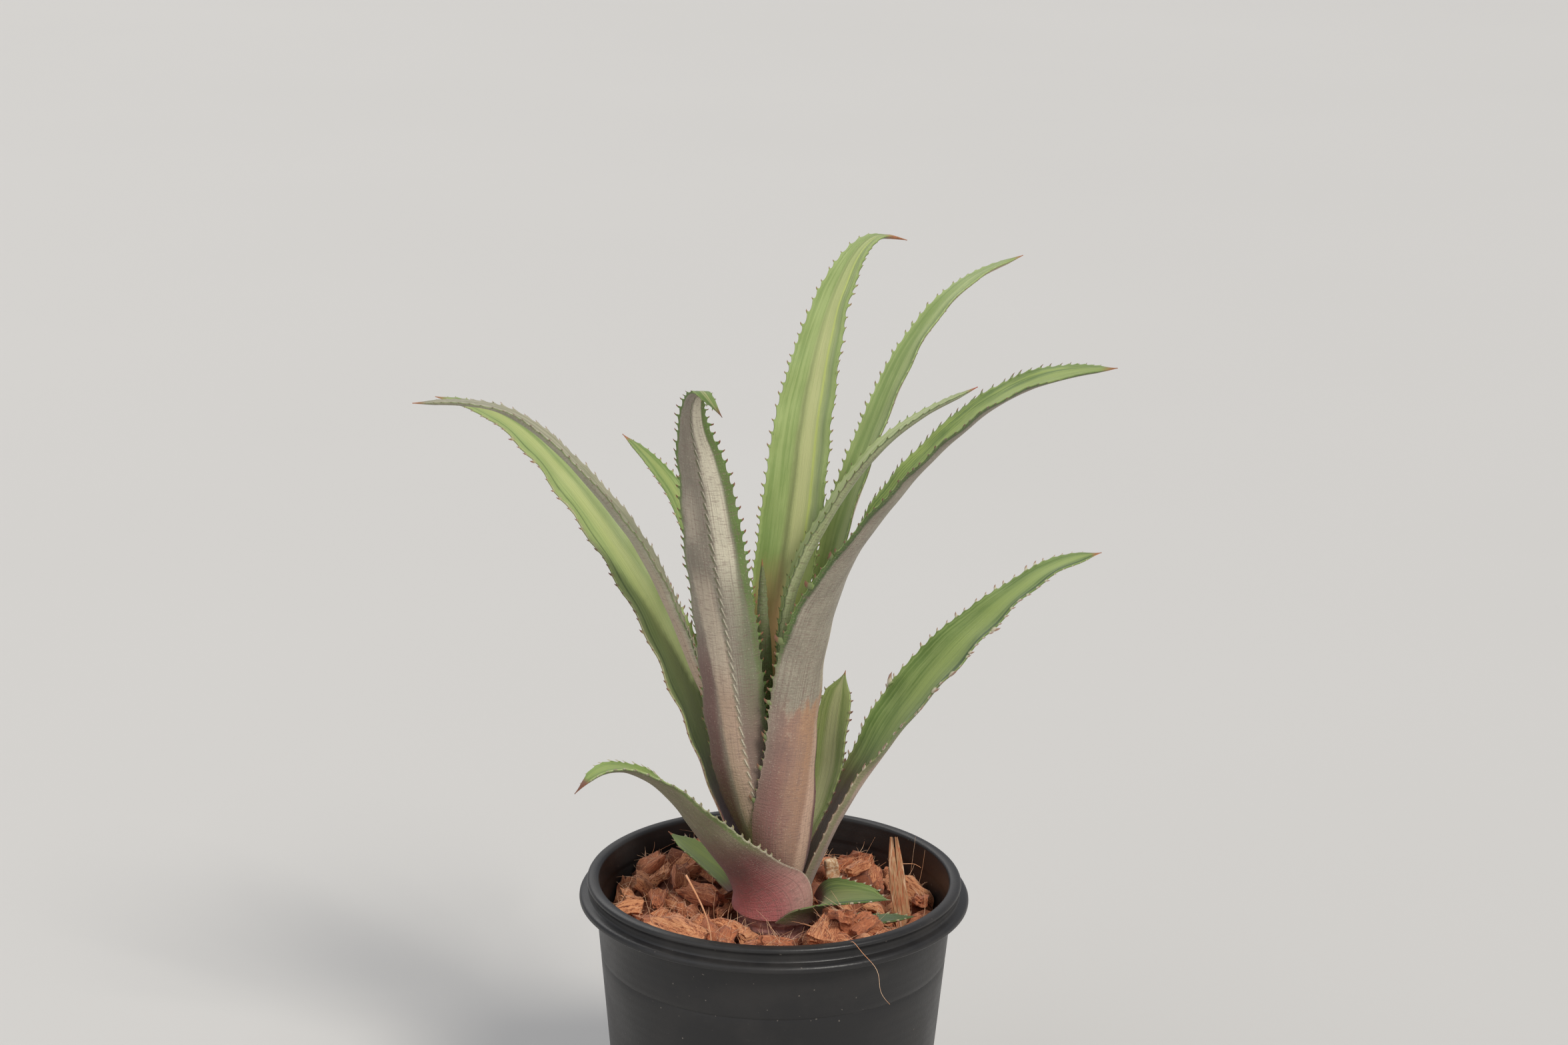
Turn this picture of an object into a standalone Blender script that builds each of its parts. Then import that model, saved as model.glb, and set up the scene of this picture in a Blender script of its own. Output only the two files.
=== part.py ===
"""Potted cryptanthus: a toothed bromeliad rosette in coir husk chips, in a plain round pot.

All sizes are real millimetres; the meshes are made in metres, with +Z up.
The origin is the centre of the pot's flat base and the front faces -Y.
"""
import math
from dataclasses import dataclass

import bmesh
import bpy
import numpy as np
from mathutils import Matrix

MM = 0.001
GAP = 0.3

# Pot
POT_SEGMENTS = 48
POT_HEIGHT = 80.0
BEAD_RADIUS = 45.0
LIP_RADIUS = 43.2
MOUTH_RADIUS = 40.4
BODY_TOP_RADIUS = 41.2
STEP_HEIGHT = 61.5
STEP_DEPTH = 0.25
BASE_RADIUS = 34.4
FLOOR_TOP = 1.8
WALL = 0.95
DRAIN_COUNT = 6
DRAIN_RADIUS = 3.2
DRAIN_CIRCLE = 22.0
DRAIN_SIDES = 12

# Stem and its hole in the medium
STEM_FOOT = 56.0
STEM_TOP = 99.0
STEM_FOOT_RADIUS = 8.2
STEM_TOP_RADIUS = 1.3
STEM_SIDES = 20

# Medium
MEDIUM_SEGMENTS = 24
MEDIUM_LEVEL = 68.6
MOUNDS = ((-22.0, 21.0, 6.0, 11.0), (14.0, 15.5, 7.0, 8.0))
CHIP_SEED = 7
CHIP_RINGS = ((15.0, 8), (21.5, 12), (28.0, 16), (34.0, 19))
CHIP_HALF = (2.4, 3.7)
CHIP_FLAT = (0.42, 0.68)
CHIP_WALL_LIMIT = 38.6

# Loose pieces standing in the medium
SPLINTER_PATH = ((30.6, 0.2, 63.0), (30.1, 0.8, 69.0), (28.8, 2.0, 76.4), (28.0, 3.2, 83.0), (27.5, 4.0, 88.2))
SPLINTER_HALF = ((1.7, 0.9), (1.8, 0.95), (1.85, 0.9), (1.7, 0.7), (1.1, 0.45))
PALE_CHIP_CENTRE = (13.5, 12.4, 76.6)
PALE_CHIP_HALF = (2.1, 1.4, 3.1)
PALE_CHIP_TURN = (8.0, -12.0, 24.0)

# Leaves
TOOTH_PITCH = 5.2
TOOTH_LENGTH = 1.15
TOOTH_WIDTH = 0.95
SHEATH_ROW = 5.0
MARGIN_THIN = 0.62


@dataclass
class Leaf:
    """One leaf: its midrib in the upright plane at azimuth (0 is the front, + is to the right).

    path holds (reach from the stem's axis, height, sideways drift) in millimetres.
    width, fold and turn are (fraction of the length, value) pairs: the width across the arc in
    millimetres, half the channel's angle and the turn about the midrib in degrees.
    """
    azimuth: float
    path: tuple
    width: tuple
    fold: tuple
    turn: tuple = ((0.0, 0.0),)
    sheath: float = 0.08
    opened: float = 0.25
    thick: float = 1.0
    wave: float = 0.7
    wave_length: float = 13.0
    wave_shift: float = 0.0
    teeth_from: float = 0.14
    cells: int = 4


LEAVES = {
    "leaf_front": Leaf(
        azimuth=-30.0,
        path=((5.5, 85.0, 0.0), (7.0, 91.0, -0.8), (8.6, 98.0, -2.2), (11.0, 112.0, -4.0), (14.0, 134.0, -4.9),
              (19.6, 160.0, -5.4), (26.6, 185.0, -5.2), (33.4, 198.0, -2.6), (39.0, 203.5, 3.4),
              (42.0, 200.0, 10.0)),
        width=((0.0, 11.4), (0.14, 15.2), (0.3, 15.8), (0.45, 15.4), (0.62, 14.4), (0.75, 11.2), (0.85, 6.0), (1.0, 0.7)),
        fold=((0.0, 57.0), (0.12, 52.0), (0.25, 46.0), (0.5, 27.0), (0.8, 24.0), (1.0, 10.0)),
        turn=((0.0, 0.0), (0.1, 8.0), (0.2, 16.0), (0.33, 16.0), (0.5, 10.0), (1.0, 8.0)),
        wave=0.6),
    "leaf_right_arching": Leaf(
        azimuth=57.0,
        path=((5.1, 80.5, -4.2), (6.4, 87.0, -5.1), (7.2, 95.0, -5.4), (8.8, 112.0, -4.2), (10.6, 131.0, -3.4),
              (16.8, 153.0, -1.9), (30.4, 175.5, -0.2), (47.0, 194.5, 0.4), (65.0, 207.3, 0.2), (83.4, 213.0, 0.0)),
        width=((0.0, 13.6), (0.1, 17.3), (0.2, 16.4), (0.3, 17.6), (0.4, 20.0), (0.52, 17.6), (0.7, 13.2), (0.87, 8.6),
               (0.96, 3.4), (1.0, 0.7)),
        fold=((0.0, 60.0), (0.25, 48.0), (0.4, 41.0), (0.6, 48.0), (0.75, 40.0), (0.9, 32.0), (1.0, 20.0)),
        turn=((0.0, -39.0), (0.1, -36.0), (0.2, -20.0), (0.3, -12.0), (0.42, 3.0), (0.55, 19.0), (0.7, 25.0), (1.0, 20.0)),
        wave=0.6),
    "leaf_left_folded": Leaf(
        azimuth=-84.0,
        path=((4.9, 89.0, 0.0), (6.5, 98.0, -0.8), (10.6, 110.0, -2.7), (17.0, 124.5, -3.5), (31.0, 157.5, -1.4),
              (46.3, 178.5, 0.0), (62.4, 191.6, 0.0), (81.5, 193.5, 0.0)),
        width=((0.0, 9.2), (0.2, 10.4), (0.5, 12.0), (0.8, 6.8), (1.0, 0.7)),
        fold=((0.0, 57.0), (0.3, 52.0), (1.0, 30.0)),
        wave=0.4),
    "leaf_left_open": Leaf(
        azimuth=-112.0,
        path=((6.3, 81.5, 0.0), (8.4, 86.0, 0.0), (10.6, 91.5, 0.0), (19.0, 113.0, 0.0), (34.4, 144.5, 0.0),
              (51.4, 166.0, 0.0), (71.8, 182.0, 0.0), (86.5, 184.5, 0.0)),
        width=((0.0, 12.3), (0.12, 15.2), (0.25, 16.6), (0.5, 14.6), (0.75, 10.0), (0.9, 5.0), (1.0, 0.7)),
        fold=((0.0, 56.0), (0.3, 40.0), (1.0, 22.0)),
        turn=((0.0, 0.0), (0.2, -10.0), (0.45, -15.0), (1.0, -18.0)),
        wave=0.8),
    "leaf_left_small": Leaf(
        azimuth=-136.0,
        path=((3.4, 94.0, 0.0), (5.8, 105.0, 2.2), (9.8, 118.0, 4.2), (17.8, 137.0, 2.6), (27.6, 154.0, 0.0),
              (38.6, 167.0, 0.0), (53.4, 174.6, 0.0)),
        width=((0.0, 6.0), (0.25, 5.9), (0.45, 6.9), (0.7, 7.4), (0.9, 4.0), (1.0, 0.7)),
        fold=((0.0, 54.0), (0.3, 42.0), (1.0, 25.0)),
        wave=0.3),
    "leaf_tall_back": Leaf(
        azimuth=165.0,
        path=((4.55, 90.5, 0.2), (5.8, 103.0, 1.4), (7.0, 118.0, 2.2), (8.4, 135.0, 2.4), (11.6, 160.0, 0.3),
              (17.4, 185.5, -1.2), (24.0, 205.0, -3.6), (30.0, 217.5, -7.0), (35.6, 223.6, -11.6),
              (41.0, 222.6, -18.2)),
        width=((0.0, 8.2), (0.2, 11.4), (0.5, 15.0), (0.65, 13.4), (0.8, 9.0), (0.9, 5.4), (1.0, 0.7)),
        fold=((0.0, 52.0), (0.3, 36.0), (0.7, 30.0), (1.0, 15.0)),
        wave=0.6),
    "leaf_tall_right": Leaf(
        azimuth=123.0,
        path=((5.1, 86.5, 0.0), (6.8, 94.0, -0.4), (8.1, 106.0, 0.3), (9.5, 121.0, 0.4), (11.8, 139.0, 0.0),
              (17.4, 163.5, -0.5), (27.2, 186.8, -0.2), (37.2, 203.7, 0.0), (50.2, 214.6, 0.0), (65.5, 219.3, 0.0)),
        width=((0.0, 9.2), (0.12, 8.8), (0.3, 8.8), (0.5, 10.4), (0.75, 8.0), (0.9, 4.6), (1.0, 0.7)),
        fold=((0.0, 56.0), (0.3, 46.0), (0.7, 36.0), (1.0, 20.0)),
        wave=0.5),
    "leaf_right_inner": Leaf(
        azimuth=90.0,
        path=((3.42, 93.5, -0.1), (3.3, 108.0, -0.4), (2.6, 124.0, -0.6), (2.4, 140.0, -0.5), (5.6, 154.5, 0.0),
              (11.2, 166.0, 0.0), (21.6, 181.6, 0.0), (34.6, 192.2, 0.0), (43.5, 197.0, 0.0)),
        width=((0.0, 7.0), (0.3, 9.5), (0.6, 9.0), (0.85, 5.5), (1.0, 0.7)),
        fold=((0.0, 58.0), (0.4, 62.0), (1.0, 35.0)),
        opened=0.1,
        wave=0.3),
    "leaf_right_low": Leaf(
        azimuth=105.0,
        path=((8.0, 76.5, 0.0), (9.8, 81.0, 0.0), (12.4, 87.0, 0.0), (16.6, 95.0, 0.0), (23.2, 106.0, 0.0),
              (37.0, 125.4, 0.0), (54.0, 142.4, 0.0), (66.0, 150.2, 0.0), (77.0, 153.0, 0.0)),
        width=((0.0, 16.4), (0.12, 17.2), (0.3, 16.8), (0.42, 19.0), (0.5, 17.6), (0.6, 15.2), (0.72, 10.6), (0.82, 7.2),
               (0.92, 5.0), (1.0, 0.7)),
        fold=((0.0, 66.0), (0.14, 56.0), (0.3, 48.0), (0.45, 40.0), (1.0, 24.0)),
        turn=((0.0, -6.0), (0.12, -12.0), (0.28, -7.0), (0.42, 3.0), (0.6, 13.0), (1.0, 18.0)),
        wave=0.8,
        cells=6),
    "leaf_short_upright": Leaf(
        azimuth=125.0,
        path=((5.9, 84.0, 0.0), (8.8, 88.5, 0.0), (12.4, 94.5, 0.0), (15.2, 104.0, 0.0), (16.4, 115.0, 0.0),
              (19.2, 126.4, 0.0)),
        width=((0.0, 6.6), (0.25, 6.6), (0.5, 9.8), (0.75, 9.6), (0.9, 6.6), (1.0, 0.7)),
        fold=((0.0, 36.0), (0.5, 28.0), (1.0, 18.0)),
        turn=((0.0, 0.0), (0.4, 10.0), (1.0, 14.0)),
        wave=0.3),
    "leaf_centre_spike": Leaf(
        azimuth=-10.0,
        path=((0.4, 99.5, 0.0), (0.6, 115.0, -1.6), (1.0, 135.0, -3.0), (1.4, 156.5, -3.6)),
        width=((0.0, 2.6), (0.4, 3.6), (0.8, 2.6), (1.0, 0.7)),
        fold=((0.0, 60.0), (1.0, 60.0)),
        sheath=0.0,
        opened=0.01,
        thick=0.9,
        wave=0.0,
        teeth_from=1.1),
    "leaf_lower_left": Leaf(
        azimuth=-60.0,
        path=((8.1, 72.6, 4.68), (8.4, 75.4, 4.7), (9.9, 79.0, 4.0), (13.2, 84.4, 2.2), (18.0, 91.0, 0.7), (25.9, 102.0, 0.0),
              (35.2, 110.6, 0.0), (45.4, 113.0, 0.0), (51.4, 109.0, 0.0)),
        width=((0.0, 32.0), (0.04, 32.4), (0.12, 27.5), (0.26, 25.6), (0.42, 20.6), (0.6, 14.4), (0.8, 7.0),
               (0.92, 3.4), (1.0, 0.7)),
        fold=((0.0, 86.0), (0.12, 80.0), (0.26, 64.0), (0.45, 46.0), (1.0, 28.0)),
        turn=((0.0, 30.0), (0.06, 25.0), (0.15, 12.0), (0.3, 3.0), (1.0, 0.0)),
        wave=0.5,
        sheath=0.1,
        opened=0.42,
        teeth_from=0.24,
        cells=8),
    "leaf_lower_left_short": Leaf(
        azimuth=-122.0,
        path=((10.3, 74.2, 0.0), (14.4, 77.2, 0.0), (21.0, 80.4, 0.0), (29.6, 84.2, 0.0)),
        width=((0.0, 9.8), (0.4, 8.8), (0.75, 6.0), (1.0, 0.7)),
        fold=((0.0, 26.0), (0.5, 24.0), (1.0, 15.0)),
        wave=0.3,
        thick=0.9,
        teeth_from=0.3),
    "leaf_lower_right_short": Leaf(
        azimuth=62.0,
        path=((10.9, 71.4, 0.0), (11.6, 73.6, 0.0), (16.0, 77.2, 0.0), (22.4, 79.0, 0.0), (30.0, 80.0, 0.0)),
        width=((0.0, 23.0), (0.2, 18.0), (0.45, 11.4), (0.75, 7.0), (1.0, 0.7)),
        fold=((0.0, 60.0), (0.2, 50.0), (0.5, 30.0), (1.0, 15.0)),
        turn=((0.0, 0.0), (0.25, 8.0), (0.5, 10.0), (1.0, 8.0)),
        wave=0.4,
        sheath=0.1,
        opened=0.5,
        thick=0.9,
        teeth_from=0.3,
        cells=6),
    "leaf_lower_right_tiny": Leaf(
        azimuth=75.0,
        path=((12.9, 69.9, 0.0), (18.0, 70.5, 0.0), (26.0, 71.8, 0.0), (34.0, 74.0, 0.0)),
        width=((0.0, 7.0), (0.4, 6.4), (0.75, 4.2), (1.0, 0.7)),
        fold=((0.0, 26.0), (0.5, 24.0), (1.0, 15.0)),
        wave=0.3,
        thick=0.9,
        teeth_from=0.35),
    "leaf_back_short": Leaf(
        azimuth=180.0,
        path=((8.7, 74.5, 0.0), (12.0, 80.0, 0.0), (18.6, 85.6, 0.0), (28.0, 89.6, 0.0)),
        width=((0.0, 9.4), (0.4, 10.5), (0.75, 6.5), (1.0, 0.7)),
        fold=((0.0, 31.0), (0.5, 28.0), (1.0, 15.0)),
        wave=0.4,
        thick=0.9,
        teeth_from=0.3),
}


def clear_scene():
    for item in list(bpy.context.scene.objects):
        bpy.data.objects.remove(item, do_unlink=True)


def material(name, colour, roughness):
    found = bpy.data.materials.get(name)
    if found:
        return found
    made = bpy.data.materials.new(name)
    made.use_nodes = True
    shader = made.node_tree.nodes["Principled BSDF"]
    shader.inputs["Base Color"].default_value = (*colour, 1.0)
    shader.inputs["Roughness"].default_value = roughness
    return made


def make_object(name, points, faces, paint):
    """One closed body from points in millimetres."""
    mesh = bpy.data.meshes.new(name)
    mesh.from_pydata([tuple(float(value) * MM for value in point) for point in points], [], faces)
    mesh.validate()
    made = bpy.data.objects.new(name, mesh)
    bpy.context.collection.objects.link(made)
    made.data.materials.append(paint)
    shell = bmesh.new()
    shell.from_mesh(mesh)
    bmesh.ops.recalc_face_normals(shell, faces=shell.faces)
    if shell.calc_volume(signed=True) < 0.0:
        bmesh.ops.reverse_faces(shell, faces=shell.faces)
    bmesh.ops.triangulate(shell, faces=shell.faces)
    shell.to_mesh(mesh)
    shell.free()
    mesh.shade_smooth()
    return made


def natural_spline(knots, values, where):
    """Cubic through the values at the knots with free ends."""
    count = len(knots)
    step = np.diff(knots)
    system = np.zeros((count, count))
    right = np.zeros((count, values.shape[1]))
    system[0, 0] = 1.0
    system[-1, -1] = 1.0
    slope = np.diff(values, axis=0) / step[:, None]
    for row in range(1, count - 1):
        system[row, row - 1] = step[row - 1]
        system[row, row] = 2.0 * (step[row - 1] + step[row])
        system[row, row + 1] = step[row]
        right[row] = 6.0 * (slope[row] - slope[row - 1])
    bend = np.linalg.solve(system, right)
    cell = np.clip(np.searchsorted(knots, where) - 1, 0, count - 2)
    width = step[cell][:, None]
    after = (knots[cell + 1] - where)[:, None]
    before = (where - knots[cell])[:, None]
    curve = bend[cell] * after ** 3 / (6.0 * width) + bend[cell + 1] * before ** 3 / (6.0 * width)
    low = values[cell] / width - bend[cell] * width / 6.0
    high = values[cell + 1] / width - bend[cell + 1] * width / 6.0
    return curve + low * after + high * before


def smooth_list(pairs, where):
    """Values between the given (fraction, value) pairs, eased at each pair."""
    places = np.array([pair[0] for pair in pairs], float)
    values = np.array([pair[1] for pair in pairs], float)
    if len(pairs) < 3:
        return np.interp(where, places, values)
    slopes = np.gradient(values, places)
    cell = np.clip(np.searchsorted(places, where) - 1, 0, len(places) - 2)
    size = places[cell + 1] - places[cell]
    part = np.clip((where - places[cell]) / size, 0.0, 1.0)
    secant = (values[cell + 1] - values[cell]) / size
    first = np.where(slopes[cell] * secant > 0.0, slopes[cell], 0.0)
    last = np.where(slopes[cell + 1] * secant > 0.0, slopes[cell + 1], 0.0)
    first = np.sign(first) * np.minimum(np.abs(first), 3.0 * np.abs(secant))
    last = np.sign(last) * np.minimum(np.abs(last), 3.0 * np.abs(secant))
    square = part * part
    cube = square * part
    return ((2 * cube - 3 * square + 1) * values[cell] + (cube - 2 * square + part) * size * first
            + (3 * square - 2 * cube) * values[cell + 1] + (cube - square) * size * last)


class Blade:
    """The leaf's midrib, side and face directions along its length, in millimetres."""

    def __init__(self, leaf, samples=400):
        self.leaf = leaf
        angle = math.radians(leaf.azimuth)
        out = np.array([math.sin(angle), -math.cos(angle), 0.0])
        side = np.array([math.cos(angle), math.sin(angle), 0.0])
        knots = np.array(leaf.path, float)
        world = knots[:, :1] * out + knots[:, 2:] * side
        world[:, 2] = knots[:, 1]
        chord = np.concatenate(([0.0], np.cumsum(np.linalg.norm(np.diff(world, axis=0), axis=1))))
        curve = natural_spline(chord, world, np.linspace(0.0, chord[-1], samples))
        run = np.concatenate(([0.0], np.cumsum(np.linalg.norm(np.diff(curve, axis=0), axis=1))))
        self.length = float(run[-1])
        self.fraction = run / run[-1]
        self.curve = curve
        ahead = np.gradient(curve, run, axis=0)
        ahead /= np.linalg.norm(ahead, axis=1)[:, None]
        across = side - (ahead @ side)[:, None] * ahead
        across /= np.linalg.norm(across, axis=1)[:, None]
        face = np.cross(ahead, across)
        turn = np.radians(smooth_list(leaf.turn, self.fraction))[:, None]
        self.ahead = ahead
        self.across = across * np.cos(turn) + face * np.sin(turn)
        self.face = face * np.cos(turn) - across * np.sin(turn)

    def pick(self, rows, where):
        return np.stack([np.interp(where, self.fraction, rows[:, axis]) for axis in range(3)], axis=1)

    def frame(self, where):
        where = np.atleast_1d(np.asarray(where, float))
        leaf = self.leaf
        middle = self.pick(self.curve, where)
        ahead = self.pick(self.ahead, where)
        across = self.pick(self.across, where)
        face = self.pick(self.face, where)
        width = smooth_list(leaf.width, where)
        fold = np.radians(smooth_list(leaf.fold, where))
        free = 2.0 * fold / width
        reach = np.hypot(middle[:, 0], middle[:, 1])
        blend = np.clip((where - leaf.sheath) / max(leaf.opened - leaf.sheath, 1e-6), 0.0, 1.0)
        blend = blend * blend * (3.0 - 2.0 * blend)
        curl = (1.0 - blend) / np.maximum(reach, 1.0) + blend * free
        return middle, ahead, across, face, width, curl, blend

    def surface(self, where, column, push=0.0, lean=0.0):
        """Upper and lower points at a fraction of the length and a column from -1 to 1."""
        middle, ahead, across, face, width, curl, blend = self.frame(where)
        leaf = self.leaf
        reach = np.abs(column)
        angle = 0.5 * width * column * curl
        along = across * (np.sin(angle) / curl)[:, None] + face * ((1.0 - np.cos(angle)) / curl)[:, None]
        normal = face * np.cos(angle)[:, None] - across * np.sin(angle)[:, None]
        outward = (across * np.cos(angle)[:, None] + face * np.sin(angle)[:, None]) * np.sign(column)
        phase = 2.0 * math.pi * (where * self.length / leaf.wave_length + leaf.wave_shift)
        phase = phase + (1.1 if column > 0 else -0.7)
        slim = np.clip(width / 9.0, 0.0, 1.0)
        ripple = leaf.wave * reach ** 1.7 * np.sin(phase) * blend * slim
        centre = middle + along + normal * ripple[:, None] + outward * push + ahead * lean
        thick = leaf.thick + (MARGIN_THIN - leaf.thick) * reach ** 2
        narrow = np.clip(width / 3.0, 0.0, 1.0)
        thick = MARGIN_THIN + (thick - MARGIN_THIN) * narrow
        return centre + normal * (thick * 0.5)[:, None], centre - normal * (thick * 0.5)[:, None]


def leaf_rows(blade):
    """Fractions of the length at which rows lie, and whether a tooth stands there."""
    leaf = blade.leaf
    bare = leaf.teeth_from * blade.length
    if leaf.teeth_from > 1.0:
        count = max(4, round(blade.length / (SHEATH_ROW * 1.4)))
        return [(row / count, False) for row in range(count)]
    count = max(2, round(bare / SHEATH_ROW))
    rows = [(leaf.teeth_from * row / count, False) for row in range(count)]
    span = blade.length - bare - 3.0
    teeth = max(2, round(span / TOOTH_PITCH))
    for tooth in range(teeth):
        rows.append(((bare + span * tooth / teeth) / blade.length, True))
    return rows


def leaf_body(name, leaf):
    """Closed leaf with forward teeth: both faces are split alike, so the blade keeps its thickness."""
    blade = Blade(leaf)
    rows = leaf_rows(blade)
    columns = [2.0 * cell / leaf.cells - 1.0 for cell in range(1, leaf.cells)]
    points = []
    top_rows = []
    low_rows = []

    def add(where, column, push=0.0, lean=0.0):
        upper, lower = blade.surface(np.array([where]), column, push, lean)
        points.append(upper[0])
        points.append(lower[0])
        return len(points) - 2, len(points) - 1

    def edge(where, column, tooth):
        found = [add(where, column)]
        if tooth:
            found.append(add(where + 0.45 * TOOTH_WIDTH / blade.length, column, TOOTH_LENGTH, 0.25))
            found.append(add(where + TOOTH_WIDTH / blade.length, column))
        return found

    for where, tooth in rows + [(1.0, False)]:
        inner = [add(where, column) for column in columns]
        left = edge(where, -1.0, tooth)
        right = edge(where, 1.0, tooth)
        top_rows.append(([pair[0] for pair in left], [pair[0] for pair in inner], [pair[0] for pair in right]))
        low_rows.append(([pair[1] for pair in left], [pair[1] for pair in inner], [pair[1] for pair in right]))
    faces = []
    for sheet, flip in ((top_rows, False), (low_rows, True)):
        for row in range(len(sheet) - 1):
            left, inner, right = sheet[row]
            next_left, next_inner, next_right = sheet[row + 1]
            found = []
            for cell in range(len(inner) - 1):
                found.append((inner[cell], inner[cell + 1], next_inner[cell + 1]))
                found.append((inner[cell], next_inner[cell + 1], next_inner[cell]))
            rim = left + [next_left[0]]
            for cell in range(len(rim) - 1):
                found.append((inner[0], rim[cell + 1], rim[cell]))
            found.append((inner[0], next_inner[0], next_left[0]))
            rim = right + [next_right[0]]
            for cell in range(len(rim) - 1):
                found.append((inner[-1], rim[cell], rim[cell + 1]))
            found.append((inner[-1], next_right[0], next_inner[-1]))
            faces += [face[::-1] if flip else face for face in found]
    for side in (0, 2):
        upper = [index for row in top_rows for index in row[side]]
        lower = [index for row in low_rows for index in row[side]]
        for cell in range(len(upper) - 1):
            quad = (upper[cell], upper[cell + 1], lower[cell + 1], lower[cell])
            faces.append(quad if side else quad[::-1])
    for row, flip in ((0, False), (-1, True)):
        upper = [top_rows[row][0][0], *top_rows[row][1], top_rows[row][2][0]]
        lower = [low_rows[row][0][0], *low_rows[row][1], low_rows[row][2][0]]
        for cell in range(len(upper) - 1):
            quad = (upper[cell], lower[cell], lower[cell + 1], upper[cell + 1])
            faces.append(quad[::-1] if flip else quad)
    return make_object(name, points, faces, material("leaf_green", (0.16, 0.24, 0.07), 0.55))


def lathe(name, profile, segments, paint):
    """Closed solid turned about the Z axis from a profile that starts and ends on the axis."""
    points = []
    rings = []
    for radius, height in profile:
        if radius < 1e-6:
            rings.append([len(points)])
            points.append((0.0, 0.0, height))
            continue
        ring = []
        for step in range(segments):
            angle = 2.0 * math.pi * step / segments
            ring.append(len(points))
            points.append((radius * math.cos(angle), radius * math.sin(angle), height))
        rings.append(ring)
    faces = []
    for low, high in zip(rings, rings[1:]):
        for step in range(segments):
            after = (step + 1) % segments
            if len(low) == 1:
                faces.append((low[0], high[after], high[step]))
            elif len(high) == 1:
                faces.append((low[step], low[after], high[0]))
            else:
                faces.append((low[step], low[after], high[after], high[step]))
    return make_object(name, points, faces, paint)


def wall_radius(height):
    """Outer radius of the pot's tapered wall below the bead."""
    return BASE_RADIUS + (BODY_TOP_RADIUS - BASE_RADIUS) * height / 74.5


def pot_profile():
    outer = [
        (0.0, 0.0),
        (BASE_RADIUS - 1.3, 0.0),
        (BASE_RADIUS - 0.35, 0.4),
        (wall_radius(1.6), 1.6),
        (wall_radius(STEP_HEIGHT) - STEP_DEPTH, STEP_HEIGHT),
        (wall_radius(STEP_HEIGHT + 0.5), STEP_HEIGHT + 0.5),
        (BODY_TOP_RADIUS, 74.4),
        (BEAD_RADIUS - 0.5, 74.6),
        (BEAD_RADIUS, 75.1),
        (BEAD_RADIUS - 0.15, 75.8),
        (BEAD_RADIUS - 0.9, 76.4),
        (LIP_RADIUS - 0.5, 76.8),
        (LIP_RADIUS - 0.35, 78.4),
        (LIP_RADIUS, 79.1),
        (LIP_RADIUS - 0.45, 79.8),
        (LIP_RADIUS - 1.3, POT_HEIGHT),
        (MOUTH_RADIUS + 0.5, POT_HEIGHT - 0.1),
        (MOUTH_RADIUS, POT_HEIGHT - 0.6),
    ]
    inner = [
        (wall_radius(74.0) - WALL, 74.0),
        (wall_radius(FLOOR_TOP + 1.4) - WALL, FLOOR_TOP + 1.4),
        (wall_radius(FLOOR_TOP) - WALL - 1.4, FLOOR_TOP),
        (0.0, FLOOR_TOP),
    ]
    return outer + inner


def join_group(target, group, operation):
    """One exact Boolean of the target with all of a collection's solids, which are then dropped."""
    tool = target.modifiers.new(group.name, "BOOLEAN")
    tool.operation = operation
    tool.operand_type = "COLLECTION"
    tool.collection = group
    tool.solver = "EXACT"
    apply_modifiers(target)
    for part in list(group.objects):
        bpy.data.objects.remove(part, do_unlink=True)
    bpy.data.collections.remove(group)


def apply_modifiers(target):
    graph = bpy.context.evaluated_depsgraph_get()
    solved = bpy.data.meshes.new_from_object(target.evaluated_get(graph))
    target.modifiers.clear()
    old = target.data
    solved.name = old.name
    target.data = solved
    bpy.data.meshes.remove(old)


def tidy_solid(target, merge=0.00002):
    """Merges points that nearly touch, keeps the largest shell and splits faces into triangles."""
    shell = bmesh.new()
    shell.from_mesh(target.data)
    bmesh.ops.remove_doubles(shell, verts=shell.verts, dist=merge)
    bmesh.ops.dissolve_degenerate(shell, edges=shell.edges, dist=merge)
    left = set(shell.verts)
    groups = []
    while left:
        stack = [left.pop()]
        group = set(stack)
        while stack:
            vert = stack.pop()
            for edge in vert.link_edges:
                other = edge.other_vert(vert)
                if other in left:
                    left.remove(other)
                    group.add(other)
                    stack.append(other)
        groups.append(group)
    groups.sort(key=len, reverse=True)
    for group in groups[1:]:
        bmesh.ops.delete(shell, geom=list(group), context="VERTS")
    bmesh.ops.triangulate(shell, faces=shell.faces)
    shell.to_mesh(target.data)
    shell.free()


def build_pot():
    paint = material("pot_plastic", (0.03, 0.03, 0.033), 0.6)
    pot = lathe("pot", pot_profile(), POT_SEGMENTS, paint)
    group = bpy.data.collections.new("drain_holes")
    for step in range(DRAIN_COUNT):
        angle = 2.0 * math.pi * (step + 0.5) / DRAIN_COUNT
        drill = lathe("drill", [(0.0, -2.0), (DRAIN_RADIUS, -2.0), (DRAIN_RADIUS, 5.0), (0.0, 5.0)],
                      DRAIN_SIDES, paint)
        across = DRAIN_CIRCLE * MM * math.cos(angle)
        back = DRAIN_CIRCLE * MM * math.sin(angle)
        drill.data.transform(Matrix.Translation((across, back, 0.0)))
        group.objects.link(drill)
    join_group(pot, group, "DIFFERENCE")
    tidy_solid(pot)
    pot.data.shade_smooth()
    return pot


def medium_height(across, back):
    """Top of the packed medium under its loose chips."""
    height = MEDIUM_LEVEL + 0.5 * math.sin(across * 0.42 + 0.6) * math.cos(back * 0.37 - 0.4)
    for mound_across, mound_back, rise, spread in MOUNDS:
        away = ((across - mound_across) ** 2 + (back - mound_back) ** 2) / (2.0 * spread ** 2)
        height += rise * math.exp(-away)
    return height


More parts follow.
